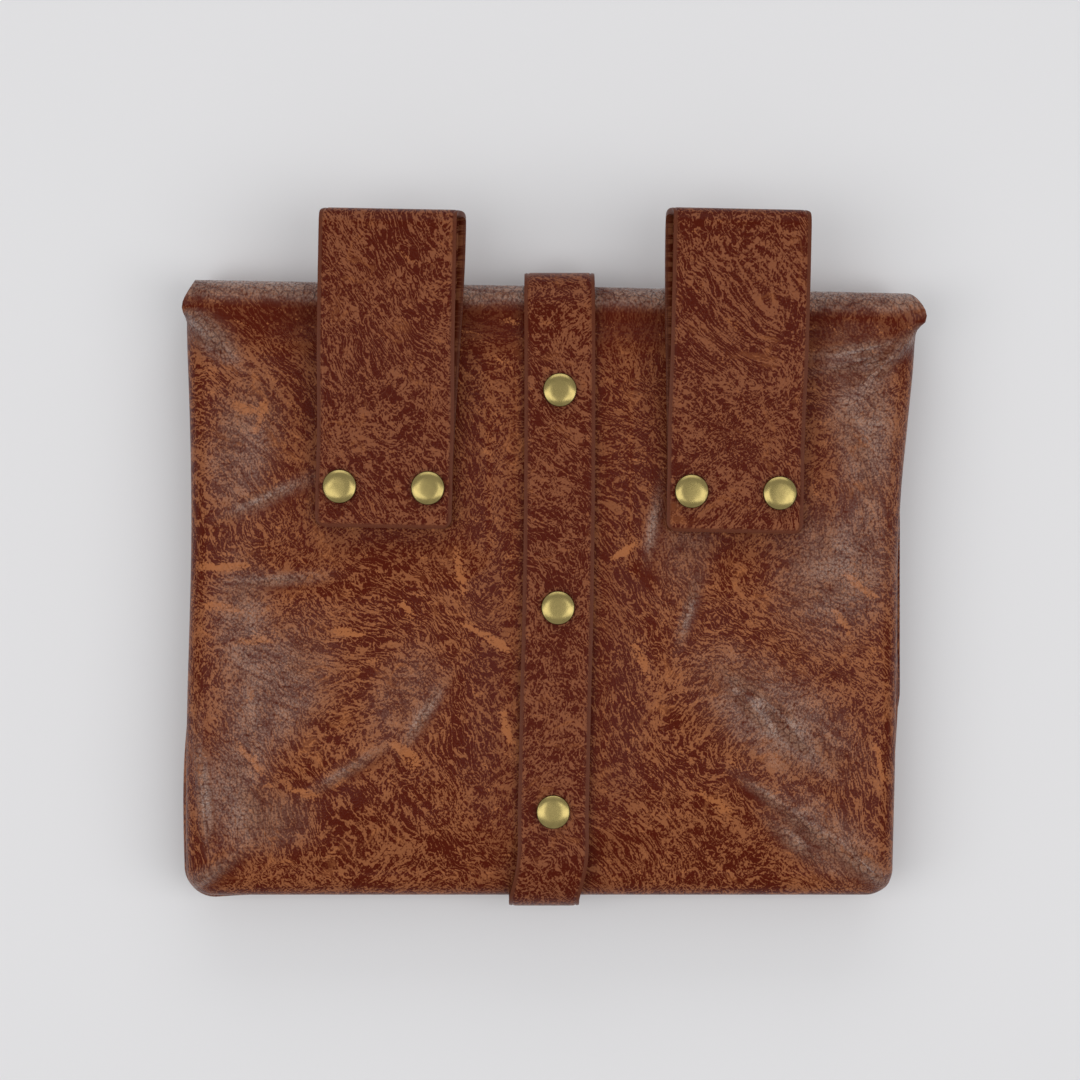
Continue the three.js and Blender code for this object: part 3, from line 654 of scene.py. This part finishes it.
class Shader:
    """A material's nodes."""

    def __init__(self, name):
        self.material = bpy.data.materials.new(name)
        self.material.use_nodes = True
        self.tree = self.material.node_tree
        self.tree.nodes.clear()

    def add(self, kind, settings=None, inputs=None, output=0):
        """A node of a kind: its settings first, then the values or links of its sockets."""
        node = self.tree.nodes.new(kind)
        for name, value in (settings or {}).items():
            setattr(node, name, value)
        for name, value in (inputs or {}).items():
            if isinstance(value, Socket):
                self.tree.links.new(value.link, node.inputs[name])
            else:
                node.inputs[name].default_value = value
        return Socket(self, node.outputs[output]) if node.outputs else None

    def mark(self, name):
        """A value kept with the mesh under a name, zero where there is none."""
        return self.add("ShaderNodeAttribute", {"attribute_name": name}, output="Fac")

    def noise(self, place, scale, detail=2.0, rough=0.5, output=0, dimensions="2D"):
        return self.add(
            "ShaderNodeTexNoise",
            {"noise_dimensions": dimensions},
            {"Vector": place, "Scale": scale, "Detail": detail, "Roughness": rough},
            output,
        )

    def cells(self, feature, place, scale):
        """A pattern of cells: the distance to their middles or to their edges."""
        return self.add(
            "ShaderNodeTexVoronoi",
            {"voronoi_dimensions": "2D", "feature": feature},
            {"Vector": place, "Scale": scale},
        )

    def shaken(self, place, by, scale, detail, reach):
        """A place moved to and fro by noise, by up to half its reach each way."""
        noise = self.noise(by, scale, detail, output="Color")
        push = self.vector("SUBTRACT", noise, (0.5, 0.5, 0.5))
        push = self.vector("MULTIPLY", push, (reach, reach, 0.0))
        return self.vector("ADD", place, push)

    def drawn_out(self, place, turn, along, across):
        """Noise drawn out into strokes at an angle in degrees."""
        turned = self.add(
            "ShaderNodeMapping",
            {"vector_type": "TEXTURE"},
            {
                "Vector": place,
                "Rotation": (0.0, 0.0, math.radians(turn)),
                "Scale": (1 / along, 1 / across, 1.0),
            },
        )
        return self.noise(turned, 1.0, 1.0)

    def line(self, noise, width):
        """One along the lines where a noise crosses its middle, falling to zero beside them."""
        off = self.add("ShaderNodeMath", {"operation": "ABSOLUTE"}, {0: noise - 0.5})
        return 1 - self.step(off, 0.0, width)

    def step(self, value, low, high):
        """Zero where a value is at low, one where it is at high, smooth between."""
        return self.add(
            "ShaderNodeMapRange",
            {"interpolation_type": "SMOOTHSTEP"},
            {"Value": value, "From Min": low, "From Max": high},
        )

    def mix(self, factor, first, second):
        """One colour turning into another."""
        return self.add(
            "ShaderNodeMix",
            {"data_type": "RGBA"},
            {"Factor": factor, "A": first, "B": second},
            "Result",
        )

    def vector(self, operation, first, second):
        return self.add("ShaderNodeVectorMath", {"operation": operation}, {0: first, 1: second})

    def bump(self, height, distance, strength):
        inputs = {"Height": height, "Distance": distance, "Strength": strength}
        return self.add("ShaderNodeBump", {}, inputs)

    def surface(self, **inputs):
        """The material's surface, with sockets named by their labels in lower case."""
        named = {name.replace("_", " ").title(): value for name, value in inputs.items()}
        named = {name.replace("Ior", "IOR"): value for name, value in named.items()}
        shine = self.add("ShaderNodeBsdfPrincipled", {}, named)
        self.add("ShaderNodeOutputMaterial", {}, {"Surface": shine})
        return self.material


def rgba(tone):
    return (*tone, 1.0)


def leather(name, dark, light, streak, painted_sheen_tone, edge, seed):
    """Two-tone leather: dark flecks in a light net that flows in curves, with wide tan streaks.

    It has painted shade where the mesh is marked as shaded, a painted sheen with a glossier coat where it
    is marked for that, its own tan streaks where it is marked as streaked, and edge paint where it is
    marked as paint. Patterns are laid out in millimetres of flat leather.
    """
    shader = Shader(name)
    place = shader.add("ShaderNodeUVMap", {"uv_map": GRAIN_MAP})
    flat = shader.add("ShaderNodeMapping", {}, {"Vector": place, "Location": seed, "Scale": MILLIMETRES})
    bent = shader.shaken(flat, flat, 0.022, 0.0, 22.0)

    # Light lines that cross each other in curving flows, over dark flecks
    fine = shader.noise(flat, 1.4, 2.0, 0.7)
    pebble = shader.cells("F1", flat, 1.5)
    jagged = shader.shaken(bent, bent, 0.13, 1.0, 4.5)
    jagged = shader.shaken(jagged, flat, 0.8, 0.0, 0.55)
    rising = shader.line(shader.drawn_out(jagged, 50.0, 0.24, 0.75), 0.1)
    falling = shader.line(shader.drawn_out(jagged, -50.0, 0.2, 0.8), 0.1)
    level = shader.drawn_out(jagged, -20.0, 0.16, 0.6)
    patch = shader.noise(bent, 0.075, 2.0, 0.6)
    sway = shader.step(shader.noise(flat, 0.035, 0.0), 0.32, 0.72)
    crossing = rising * (0.15 + sway * 0.6) + falling * (0.9 - sway * 0.35)
    field = crossing * 0.95 + level * 1.1 + fine + patch * 1.1
    net = shader.step(field - pebble * 0.9, 1.3, 2.05)

    # Wide streaks that branch and fade
    ragged = shader.shaken(jagged, flat, 0.1, 1.0, 20.0)
    vein = shader.cells("DISTANCE_TO_EDGE", ragged, 0.035)
    where = shader.step(shader.noise(flat, 0.075, 0.0), 0.46, 0.66)
    vein = (1 - shader.step(vein + fine * 0.08 + level * 0.14, 0.1, 0.15)) * where

    rubbed, shaded, paint = [shader.mark(mark) for mark in ("rubbed", "shaded", "paint")]
    # Painted shade: where the mesh is marked as shaded, the light net and the tan veins fade to the dark
    # tone
    bare = 1 - shaded * 0.75
    base = shader.mix(net * bare, rgba(dark), rgba(light))
    # Painted sheen: in its marked patches the leather turns towards the sheen's colour, broken up by the
    # grain, and the same share gives the coat
    shine = rubbed * (level * 1.6 + patch * 1.2 - 0.4)
    base = shader.mix(shine * (0.95 - pebble * 0.7) * (fine + 0.5), base, rgba(painted_sheen_tone))
    torn = shader.mark("streaked") + level * 1.4 + fine * 0.9 - pebble * 0.5
    placed = shader.step(torn, 1.25, 1.6) * 0.95
    tone = shader.mix(vein * (net * 0.4 + 0.4) * bare, base, rgba(streak))
    tone = shader.mix(placed, tone, rgba(streak))
    tone = shader.mix(paint, tone, rgba(edge))

    # Crackle in the painted sheen: bumped cells, with painted shade in the cracks between them
    cell = shader.cells("DISTANCE_TO_EDGE", shader.shaken(flat, flat, 0.5, 1.0, 1.2), 0.42)
    crackle = shader.step(cell, 0.0, 0.16) * rubbed
    tone = shader.mix((rubbed - crackle) * fine * 1.3, tone, rgba(dark))
    relief = (fine * 0.8 - pebble * 1.1) * (1 - paint) * (rubbed * 2.0 + 0.35)
    normal = shader.bump(relief + crackle * 2.6, 0.00022, 0.75)
    roughness = shader.add(
        "ShaderNodeMapRange",
        {},
        {"Value": fine, "From Min": 0.3, "From Max": 0.7, "To Min": 0.25, "To Max": 0.37},
    )
    return shader.surface(
        base_color=tone,
        roughness=roughness,
        specular_ior_level=0.08,
        coat_weight=shine * (1.3 - pebble * 1.4),
        coat_roughness=0.26,
        normal=normal,
    )


def painted_edge(name, tone):
    """Cut edges with paint applied by rubbing, then burnished."""
    shader = Shader(name)
    place = shader.add("ShaderNodeTexCoord", {}, {}, "Object")
    rub = shader.noise(place, 900.0, 3.0, dimensions="3D")
    mixed = shader.mix(rub, rgba([c * 0.8 for c in tone]), rgba([c * 1.2 for c in tone]))
    normal = shader.bump(shader.noise(place, 2500.0, 2.0, dimensions="3D"), 0.00004, 0.5)
    return shader.surface(base_color=mixed, roughness=0.42, normal=normal)


def antique_brass(name, bright, patina):
    """Antique brass with a dull bloom and fine rubs, and a painted shadow where the mesh is marked as a
    rim.
    """
    shader = Shader(name)
    place = shader.add("ShaderNodeTexCoord", {}, {}, "Object")
    bloom = shader.noise(place, 420.0, 4.0, 0.6, dimensions="3D")
    tone = shader.mix(shader.step(bloom, 0.35, 0.75), rgba(bright), rgba(patina))
    # Painted shadow round the cap's edge: nearly black where the mesh is marked as a rim
    tone = shader.mix(shader.mark("rim"), tone, rgba([c * 0.2 for c in patina]))
    rub = shader.noise(place, 1500.0, 2.0, dimensions="3D")
    roughness = bloom * 0.16 + 0.18
    normal = shader.bump(rub, 0.00001, 0.3)
    return shader.surface(base_color=tone, metallic=1.0, roughness=roughness, normal=normal)


def finished(bm, name):
    """A mesh from the shape that has been built."""
    mesh = bpy.data.meshes.new(name)
    bm.to_mesh(mesh)
    bm.free()
    return mesh


def in_scene(name, data):
    """A new object in the scene."""
    made = bpy.data.objects.new(name, data)
    bpy.context.scene.collection.objects.link(made)
    return made


def grid_piece(name, across, along, point, uv_across, uv_along, **marks):
    """A mesh from a grid that an array function bends, with a UV map in metres of flat leather.

    across and along hold the stations, and point turns arrays of them into places. Each mark is a
    function of them that gives a value from 0 to 1, kept with the mesh under its name.
    """
    bm = bmesh.new()
    bm.loops.layers.uv.new(GRAIN_MAP)
    bmesh.ops.create_grid(
        bm, x_segments=len(across) - 1, y_segments=len(along) - 1, size=0.5, calc_uvs=True
    )
    mesh = finished(bm, name)
    flat = np.empty(len(mesh.vertices) * 3)
    mesh.vertices.foreach_get("co", flat)
    flat = flat.reshape(-1, 3) + 0.5
    column = np.interp(flat[:, 0], np.linspace(0, 1, len(across)), across)
    row = np.interp(flat[:, 1], np.linspace(0, 1, len(along)), along)
    mesh.vertices.foreach_set("co", point(column, row).ravel())
    corners = np.empty(len(mesh.loops), dtype=np.int32)
    mesh.loops.foreach_get("vertex_index", corners)
    cloth = np.stack([uv_across(column), uv_along(row)], axis=-1)[corners]
    mesh.uv_layers[GRAIN_MAP].data.foreach_set("uv", cloth.ravel())
    for mark, value in marks.items():
        mesh.attributes.new(mark, "FLOAT", "POINT").data.foreach_set("value", value(column, row))
    mesh.update()
    return mesh


def flip(mesh):
    """Turns every face round."""
    bm = bmesh.new()
    bm.from_mesh(mesh)
    bmesh.ops.reverse_faces(bm, faces=bm.faces)
    bm.to_mesh(mesh)
    bm.free()


def pierce(mesh, spots, radius, below, above):
    """Opens a round hole at each spot, between two heights."""
    bm = bmesh.new()
    bm.from_mesh(mesh)
    for spot in spots:
        near = [v for v in bm.verts if below < v.co.z < above and (v.co.xy - spot.xy).length < radius]
        bmesh.ops.delete(bm, geom=near, context="VERTS")
        for vertex in bm.verts:
            off = vertex.co.xy - spot.xy
            if vertex.is_boundary and off.length < radius * 2.5 and below < vertex.co.z < above:
                vertex.co.xy = spot.xy + off * (radius / off.length)
    bm.to_mesh(mesh)
    bm.free()


def add_piece(name, mesh, materials, *nodes, slot):
    """An object that stands for solids of the frame and rides on the body."""
    mesh.shade_smooth()
    piece = in_scene(name, mesh)
    for material in materials:
        mesh.materials.append(material)
    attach(piece, BODY)
    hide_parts(*nodes)
    return piece


def wall(piece, thickness, bevel, segments=3):
    """Gives a skin its wall, inwards, with rounded cut edges in the second material."""
    solid = piece.modifiers.new("wall", "SOLIDIFY")
    solid.thickness = thickness
    solid.offset = -1.0
    solid.use_even_offset = False
    solid.use_rim = True
    solid.material_offset_rim = 1
    edges = piece.modifiers.new("cut edges", "BEVEL")
    edges.width = bevel
    edges.segments = segments
    edges.limit_method = "ANGLE"
    edges.angle_limit = math.radians(55)
    edges.harden_normals = False


def runs(*legs):
    """Stations from each stop to the next in the given number of steps."""
    found = [legs[0]]
    for to, steps in legs[1:]:
        start = found[-1]
        found += [between(start, to, i / steps) for i in range(1, steps + 1)]
    return np.array(found)


def laid_across(half, strip):
    """The place of a column across flat leather, with a rolled strip at each side."""
    return lambda column: np.interp(column, (-2, -1, 1, 2), (-half - strip, -half, half, half + strip))


def sizes_of(context):
    return context.scene.pouch_sizes


def finish_of(context):
    return context.scene.pouch_finish


def material_of(name, make, *values):
    """A material by its name, made where it isn't there yet."""
    return bpy.data.materials.get(name) or make(name, *values)


def leather_and_edge(finish, kind, name, seed=(0.0, 0.0, 0.0)):
    """Leather in the body's or the strap's tones, and the paint on its cut edges."""
    tones = [getattr(finish, f"{kind}_{tone}") for tone in ("dark", "light", "streak")]
    return [
        material_of(name, leather, *tones, finish.painted_sheen_tone, finish.edge, seed),
        material_of(f"{kind} edge", painted_edge, finish.edge),
    ]


def body_leather(finish):
    return leather_and_edge(finish, "body", "body leather")


def rivet_spots():
    """Where the rivets of the back stand, from the frame's solids."""
    names = [*STRAP_RIVETS, *(f"loop_rivet_{where}" for where in LOOP_RIVETS)]
    spots = {}
    for name in names:
        low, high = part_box(name)
        spots[name] = (low + high) / 2
    return spots


class POUCH_OT_hide(Operator):
    """Adds the hide that makes the back, the fold over the top and the flap"""

    bl_idname = "pouch.hide"
    bl_label = "Back and flap"

    def execute(self, context):
        sizes = sizes_of(context)
        form = Form(sizes)
        columns = runs(-2.0, (-1.0, 12), (1.0, 148), (2.0, 12))
        rows = runs(-1.0, (0.0, 12), (1.0, 124), (2.0, 10), (3.0, 3), (4.0, 10), (5.0, 40))
        strip = sizes.back_roll * form.turn

        back = form.fold_line(0.0) - form.bottom_line
        over = form.fold_reach * math.pi + (1 - 2 * sizes.fold) * sizes.rim
        marks = np.array([-strip, 0.0, back, back + over, back + over + back * sizes.flap])

        mesh = grid_piece(
            "back_panel_flap_leather",
            columns,
            rows,
            lambda column, row: form.hide_point(column, row) + np.array(form.shift),
            laid_across(form.flat_half, strip),
            lambda row: np.interp(row, (-1, 0, 1, 4, 5), marks),
            rubbed=form.rubbed,
            shaded=form.shaded,
            streaked=form.streaked,
        )
        spots = rivet_spots().values()
        pierce(mesh, spots, sizes.post + sizes.gap, sizes.rim * 0.9, sizes.rim * 1.5)
        piece = add_piece(
            "back_and_flap",
            mesh,
            body_leather(finish_of(context)),
            "back_panel_flap",
            slot="body_leather",
        )
        wall(piece, sizes.hide, HIDE_EDGE)
        return {"FINISHED"}


class POUCH_OT_pocket(Operator):
    """Adds the front panel and the gusset"""

    bl_idname = "pouch.pocket"
    bl_label = "Front panel and gusset"

    def execute(self, context):
        sizes = sizes_of(context)
        form = Form(sizes)
        shift = np.array(form.shift)
        columns = runs(-2.0, (-1.0, 8), (1.0, 90), (2.0, 8))
        rows = runs(sizes.mouth, (1.0, 50), (2.0, 24), (3.0, 8))
        roll = sizes.front_roll * form.turn
        levels = (form.fold_line(0.0), form.hem_line, form.front_floor)
        panel = grid_piece(
            "front_panel_leather",
            columns,
            rows,
            lambda column, row: form.front_point(column, row) + shift,
            laid_across(form.flat_half, roll),
            lambda row: np.interp(row, (0, 1, 2, 3), (*levels, levels[-1] - roll)),
        )
        skins = body_leather(finish_of(context))
        front = add_piece("pocket_front", panel, skins, "front_panel", slot="body_leather")
        wall(front, sizes.hide, POCKET_EDGE, 2)

        along = runs(0.0, (1.0, 300))
        around = runs(0.0, (1.0, 24))
        girth = 2 * sizes.height + sizes.width
        strip = grid_piece(
            "gusset_leather",
            along,
            around,
            lambda a, b: form.gusset_point(a, b) + shift,
            lambda a: a * girth,
            lambda b: b * sizes.rim * 1.4,
        )
        flip(strip)
        gusset = add_piece("gusset", strip, skins, "side_gusset", slot="body_leather")
        wall(gusset, sizes.hide, POCKET_EDGE, 2)
        return {"FINISHED"}


def resampled(points, step):
    """Points a step apart along a line of points in the yz plane."""
    points = np.array(points)
    gone = np.concatenate([[0.0], np.cumsum(np.linalg.norm(np.diff(points, axis=0), axis=1))])
    count = max(int(round(gone[-1] / step)), 2)
    at = np.linspace(0.0, gone[-1], count + 1)
    return np.stack([np.interp(at, gone, points[:, i]) for i in range(2)], axis=-1), at


def route(start, *legs):
    """A line through legs: a point for a straight one, three points for a curved one."""
    line = [start]
    for leg in legs:
        if len(leg) == 2:
            line += [between(np.array(line[-1]), np.array(leg), i / 8) for i in range(1, 9)]
        else:
            ends = [Vector((*p, 0.0)) for p in (line[-1], *leg)]
            curve = interpolate_bezier(ends[0], ends[1], ends[2], ends[3], 25)
            line += [(p.x, p.y) for p in curve[1:]]
    return [tuple(p) for p in line]


def band_mesh(name, line, width, thickness, corner, margin, across, sink, step=0.001):
    """A band of leather with rounded ends whose middle follows a line in the yz plane.

    across gives its centre line and sink how far its outer face is pressed in. A groove runs a
    margin inside the cut edges, which are painted up to it.
    """
    points, gone = resampled(line, step)
    heading = np.gradient(points, axis=0)
    heading = heading / np.linalg.norm(heading, axis=1, keepdims=True)
    total = gone[-1]

    def place(column, row):
        at = row * total
        y = np.interp(at, gone, points[:, 0])
        z = np.interp(at, gone, points[:, 1])
        dy = np.interp(at, gone, heading[:, 0])
        dz = np.interp(at, gone, heading[:, 1])
        end = np.clip(corner - np.minimum(at, total - at), 0, corner)
        inset = corner - np.sqrt(corner**2 - end**2)
        x = across(y, z) + column * (width / 2 - inset)
        aside = (1 - np.abs(column)) * (width / 2 - inset)
        ahead = np.minimum(row, 1 - row) * total
        off = np.minimum(aside, ahead) / margin
        groove = np.exp(-(((off - 1) / 0.28) ** 2)) + 0.9 * (1 - smooth(off / 0.8))
        out = thickness / 2 - sink(x, y, z) - 0.14 * thickness * groove
        return np.stack([x, y - dz * out, z + dy * out], axis=-1)

    def paint(column, row):
        aside = (1 - np.abs(column)) * width / 2
        ahead = np.minimum(row, 1 - row) * total
        return 1 - smooth((np.minimum(aside, ahead) / margin - 0.7) / 0.5)

    turned_end = corner / total * (1 - np.cos(np.linspace(0.0, math.pi / 2, 9)))
    straight = np.linspace(turned_end[-1], 1 - turned_end[-1], len(gone) - 1)[1:-1]
    side = np.array((0.0, 0.3, 0.5, 0.7, 0.85, 1.0, 1.15, 1.3, 1.5, 1.8, 2.3)) * margin * 2 / width
    middle = np.linspace(side[-1] - 1, 1 - side[-1], int(width / step))[1:-1]
    return grid_piece(
        name,
        np.concatenate([side - 1, middle, 1 - side[::-1]]),
        np.concatenate([turned_end, straight, 1 - turned_end[::-1]]),
        place,
        lambda column: column * width / 2,
        lambda row: row * total,
        paint=paint,
    )


def dimples(spots, radius, depth):
    """How far leather is pressed in round rivets, as a function of place."""

    def sink(x, y, z):
        found = np.zeros_like(x)
        for spot in spots:
            off = np.hypot(x - spot.x, y - spot.y) / radius
            found = found + depth * np.exp(-(off**2))
        return np.where(z > spots[0].z * 0.7, found, 0.0)

    return sink


class POUCH_OT_strap(Operator):
    """Adds the strap that closes the pouch"""

    bl_idname = "pouch.strap"
    bl_label = "Closing strap"

    def execute(self, context):
        s = sizes_of(context)
        form = Form(s)
        half = form.half_height
        level = form.seat_level + s.gap + s.strap_thickness / 2
        turn = s.seat * form.bottom_line
        top = half + s.strap_top - s.strap_thickness / 2
        bottom = -half - s.strap_bottom + s.strap_thickness / 2
        middle = (level + form.strap_lay) / 2
        lap_start = form.y_at(STUD_UP) - s.strap_lap / 2
        low = lap_start - 0.14 * s.height
        lay, inner, outer = form.strap_lay, form.inner_lap, form.outer_lap
        fold = form.fold_line(0.0)
        stud = form.y_at(STUD_UP)
        line = route(
            (form.lap_end, inner),
            (lap_start, inner),
            ((lap_start - 0.04 * s.height, inner), (low + 0.06 * s.height, lay), (low, lay)),
            ((between(low, bottom, 0.75), lay), (bottom, 0.25 * middle), (bottom, middle)),
            ((bottom, 0.92 * level), (between(turn, bottom, 0.72), level), (turn, level)),
            (-turn, level),
            ((between(-turn, top, 0.7), level), (top, 0.86 * level), (top, middle)),
            ((top, 0.1 * middle), (between(fold, top, 0.7), lay), (fold, lay)),
            (form.lap_end + 0.35 * s.strap_lap, lay),
            ((form.lap_end, lay), (form.lap_end, outer), (stud + 0.25 * s.strap_lap, outer)),
            (lap_start, outer),
        )

        def across(y, z):
            front = form.strap_on_front(y)
            return between(front, form.strap_on_back(y), smooth((z - middle) / (level - middle)))

        spots = [spot - form.shift for name, spot in rivet_spots().items() if name in STRAP_RIVETS]
        mesh = band_mesh(
            "closing_strap_leather",
            line,
            s.strap_width,
            s.strap_thickness,
            s.corner,
            s.margin,
            across,
            dimples(spots, s.cap * 1.5, s.dimple),
        )
        mesh.transform(Matrix.Translation(form.shift))
        piece = add_piece(
            "closing_strap",
            mesh,
            leather_and_edge(finish_of(context), "strap", "strap leather", (310.0, 40.0, 0.0)),
            "closure_strap",
            slot="strap_leather",
        )
        wall(piece, s.strap_thickness, BAND_EDGE, 4)
        return {"FINISHED"}


class POUCH_OT_loops(Operator):
    """Adds the two belt loops"""

    bl_idname = "pouch.loops"
    bl_label = "Belt loops"

    def execute(self, context):
        s = sizes_of(context)
        form = Form(s)
        under = form.seat_level + s.gap + s.loop_thickness / 2
        upper = under + s.gap + s.loop_thickness
        rise = under + 2 * s.loop_bend + s.loop_thickness
        radius = s.loop_bend + s.loop_thickness / 2
        bend_level = under + radius
        apart = s.loop_width * s.rivet_spread / 2
        spots = [Vector((x, 0.0, upper)) for x in (-apart, apart)]
        sink = dimples(spots, s.cap * 1.5, s.dimple)
        for side, loop in LOOPS.items():
            top = form.half_height + s.loop_reach - form.y_at(loop["up"])
            fold = top - s.loop_bend - s.loop_thickness
            start = s.cap * 1.6
            arc = [
                (fold + radius * math.sin(a), bend_level + radius * math.cos(a))
                for a in np.linspace(0.0, math.pi, 25)
            ]
            line = route(
                (-s.loop_tail, upper),
                (start, upper),
                ((fold * 0.25, upper), (fold * 0.35, rise), (fold, rise)),
            )
            line = line + arc[1:] + route(arc[-1], (start, under), (-s.loop_tail, under))[1:]

            def across(y, z, loop=loop, fold=fold):
                lower = smooth((bend_level - z) / (2 * s.loop_bend) + 0.5)
                return loop["skew"] * smooth(y / fold) * lower

            mesh = band_mesh(
                f"belt_loop_{side}_leather",
                line,
                s.loop_width,
                s.loop_thickness,
                s.corner,
                s.margin,
                across,
                sink,
            )
            stand = Vector((loop["across"] * s.width, form.y_at(loop["up"]), 0.0)) + form.shift
            mesh.transform(Matrix.Rotation(-math.radians(loop["lean"]), 4, "Z"))
            mesh.transform(Matrix.Translation(stand))
            # A loop runs up the pouch on top, so its outer face is the grid's upper face.
            seed = (70.0, 510.0, 0.0) if side == "left" else (-240.0, 800.0, 0.0)
            piece = add_piece(
                f"loop_{side}",
                mesh,
                leather_and_edge(finish_of(context), "strap", f"loop {side} leather", seed),
                f"belt_loop_{side}",
                slot="strap_leather",
            )
            wall(piece, s.loop_thickness, BAND_EDGE, 4)
        return {"FINISHED"}


def turned(name, profile, steps):
    """A closed form of revolution about z from (radius, height) pairs that start and end on the axis."""
    bm = bmesh.new()
    verts = [bm.verts.new((r, 0.0, h)) for r, h in profile]
    edges = [bm.edges.new(pair) for pair in zip(verts, verts[1:])]
    bmesh.ops.spin(
        bm,
        geom=verts + edges,
        cent=(0, 0, 0),
        axis=(0, 0, 1),
        angle=math.tau,
        steps=steps,
        use_merge=True,
    )
    bmesh.ops.remove_doubles(bm, verts=bm.verts, dist=1e-7)
    bmesh.ops.recalc_face_normals(bm, faces=bm.faces)
    return finished(bm, name)


class POUCH_OT_rivets(Operator):
    """Adds the brass rivets and gives the stud their brass"""

    bl_idname = "pouch.rivets"
    bl_label = "Rivets and stud"

    def execute(self, context):
        s = sizes_of(context)
        finish = finish_of(context)
        brass = material_of("antique brass", antique_brass, finish.brass, finish.patina)
        for name in rivet_spots():
            low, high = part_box(name)
            inner = low.z + INNER_HEIGHT
            under = high.z - s.cap_height
            shoulder = [
                (
                    s.cap * (1 - RIM_BULGE + RIM_BULGE * math.sin(a)),
                    s.cap_height * RIM_ROUND * (1 + math.cos(a)),
                )
                for a in np.linspace(RIM_START, RIM_END, 12)
            ]
            last_r, last_h = shoulder[-1]
            dome = [
                (last_r * r, between(s.cap_height, last_h, r**DOME_FLATNESS))
                for r in (0.97, 0.93, 0.88, 0.82, 0.74, 0.64, 0.5, 0.25, 0.0)
            ]
            profile = [
                (0.0, low.z),
                (INNER_CAP - INNER_BEVEL[0], low.z),
                (INNER_CAP, low.z + INNER_BEVEL[1]),
                (INNER_CAP, inner),
                (s.post, inner),
                (s.post, under),
                (s.cap * 0.8, under),
            ]
            profile += [(r, under + h) for r, h in shoulder + dome]
            mesh = turned(f"{name}_metal", profile, 64)
            # The cap's outer edge is marked as a rim, for its painted shadow
            rim = mesh.attributes.new("rim", "FLOAT", "POINT")
            for corner, vertex in zip(rim.data, mesh.vertices):
                out = vertex.co.xy.length / s.cap
                corner.value = float(smooth((out - 0.955) / 0.03))
            mesh.transform(Matrix.Translation(((low.x + high.x) / 2, (low.y + high.y) / 2, 0.0)))
            add_piece(f"{name}_cap", mesh, [brass], name, slot="antique_brass")
        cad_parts["closure_stud"].data.materials.clear()
        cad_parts["closure_stud"].data.materials.append(brass)
        return {"FINISHED"}


def aim(obj, target):
    """Turns a lamp to a point."""
    direction = Vector(target) - obj.location
    obj.rotation_euler = direction.to_track_quat("-Z", "Y").to_euler()


def softbox(name, place, target, size, power, tone):
    """A rectangular lamp, turned to a point."""
    lamp = bpy.data.lights.new(name, "AREA")
    lamp.shape = "RECTANGLE"
    lamp.size, lamp.size_y = size
    lamp.energy = power
    lamp.color = tone
    obj = in_scene(name, lamp)
    obj.location = place
    aim(obj, target)


class POUCH_OT_stage(Operator):
    """Adds the floor, the lights and the camera"""

    bl_idname = "pouch.stage"
    bl_label = "Studio"

    def execute(self, context):
        studio = context.scene.pouch_studio
        context.scene.view_settings.view_transform = "Standard"
        bm = bmesh.new()
        bmesh.ops.create_grid(bm, x_segments=1, y_segments=1, size=4.0)
        mesh = finished(bm, "floor")
        floor = in_scene("floor", mesh)
        card = Shader("card")
        mesh.materials.append(card.surface(base_color=rgba(studio.floor), roughness=0.85))

        world = bpy.data.worlds.new("room")
        world.use_nodes = True
        glow = world.node_tree.nodes["Background"]
        glow.inputs["Color"].default_value = (1.0, 0.99, 0.98, 1.0)
        glow.inputs["Strength"].default_value = studio.surround
        context.scene.world = world

        target = (0.0, 0.0, 0.02)
        side, white = studio.side_power, (1.0, 0.99, 0.97)
        softbox("left softbox", (-0.5, -0.13, 0.8), target, (0.5, 0.8), side, white)
        softbox("right softbox", (0.5, -0.13, 0.8), target, (0.5, 0.8), side, white)
        softbox("top softbox", (0.0, 1.0, 0.6), target, (1.2, 0.5), studio.top_power, white)

        lens = bpy.data.cameras.new("camera")
        lens.sensor_width = 36.0
        lens.lens = lens.sensor_width / 2 / math.tan(studio.view / 2)
        lens.clip_start = 0.01
        camera = in_scene("camera", lens)
        camera.location = (studio.camera_x, studio.camera_y, studio.camera_height)
        context.scene.camera = camera
        return {"FINISHED"}


class POUCH_PT_panel(Panel):
    """Lists the pouch's sizes, finishes and pieces"""

    bl_label = "Belt pouch"
    bl_idname = "POUCH_PT_panel"
    bl_space_type = "VIEW_3D"
    bl_region_type = "UI"
    bl_category = "Pouch"

    def draw(self, context):
        layout = self.layout
        for operator in OPERATORS:
            layout.operator(operator.bl_idname)
        for group in (
            context.scene.pouch_sizes,
            context.scene.pouch_finish,
            context.scene.pouch_studio,
        ):
            column = layout.column()
            for name in type(group).__annotations__:
                column.prop(group, name)


GROUPS = {"pouch_sizes": PouchSizes, "pouch_finish": PouchFinish, "pouch_studio": PouchStudio}
OPERATORS = (
    POUCH_OT_stage,
    POUCH_OT_hide,
    POUCH_OT_pocket,
    POUCH_OT_strap,
    POUCH_OT_loops,
    POUCH_OT_rivets,
)


def register():
    for name, group in GROUPS.items():
        bpy.utils.register_class(group)
        setattr(bpy.types.Scene, name, PointerProperty(type=group))
    for operator in OPERATORS:
        bpy.utils.register_class(operator)
    bpy.utils.register_class(POUCH_PT_panel)


def unregister():
    bpy.utils.unregister_class(POUCH_PT_panel)
    for operator in reversed(OPERATORS):
        bpy.utils.unregister_class(operator)
    for name, group in reversed(GROUPS.items()):
        delattr(bpy.types.Scene, name)
        bpy.utils.unregister_class(group)


def main():
    register()
    bpy.ops.pouch.stage()
    bpy.ops.pouch.hide()
    bpy.ops.pouch.pocket()
    bpy.ops.pouch.strap()
    bpy.ops.pouch.loops()
    bpy.ops.pouch.rivets()


if __name__ == "__main__":
    main()
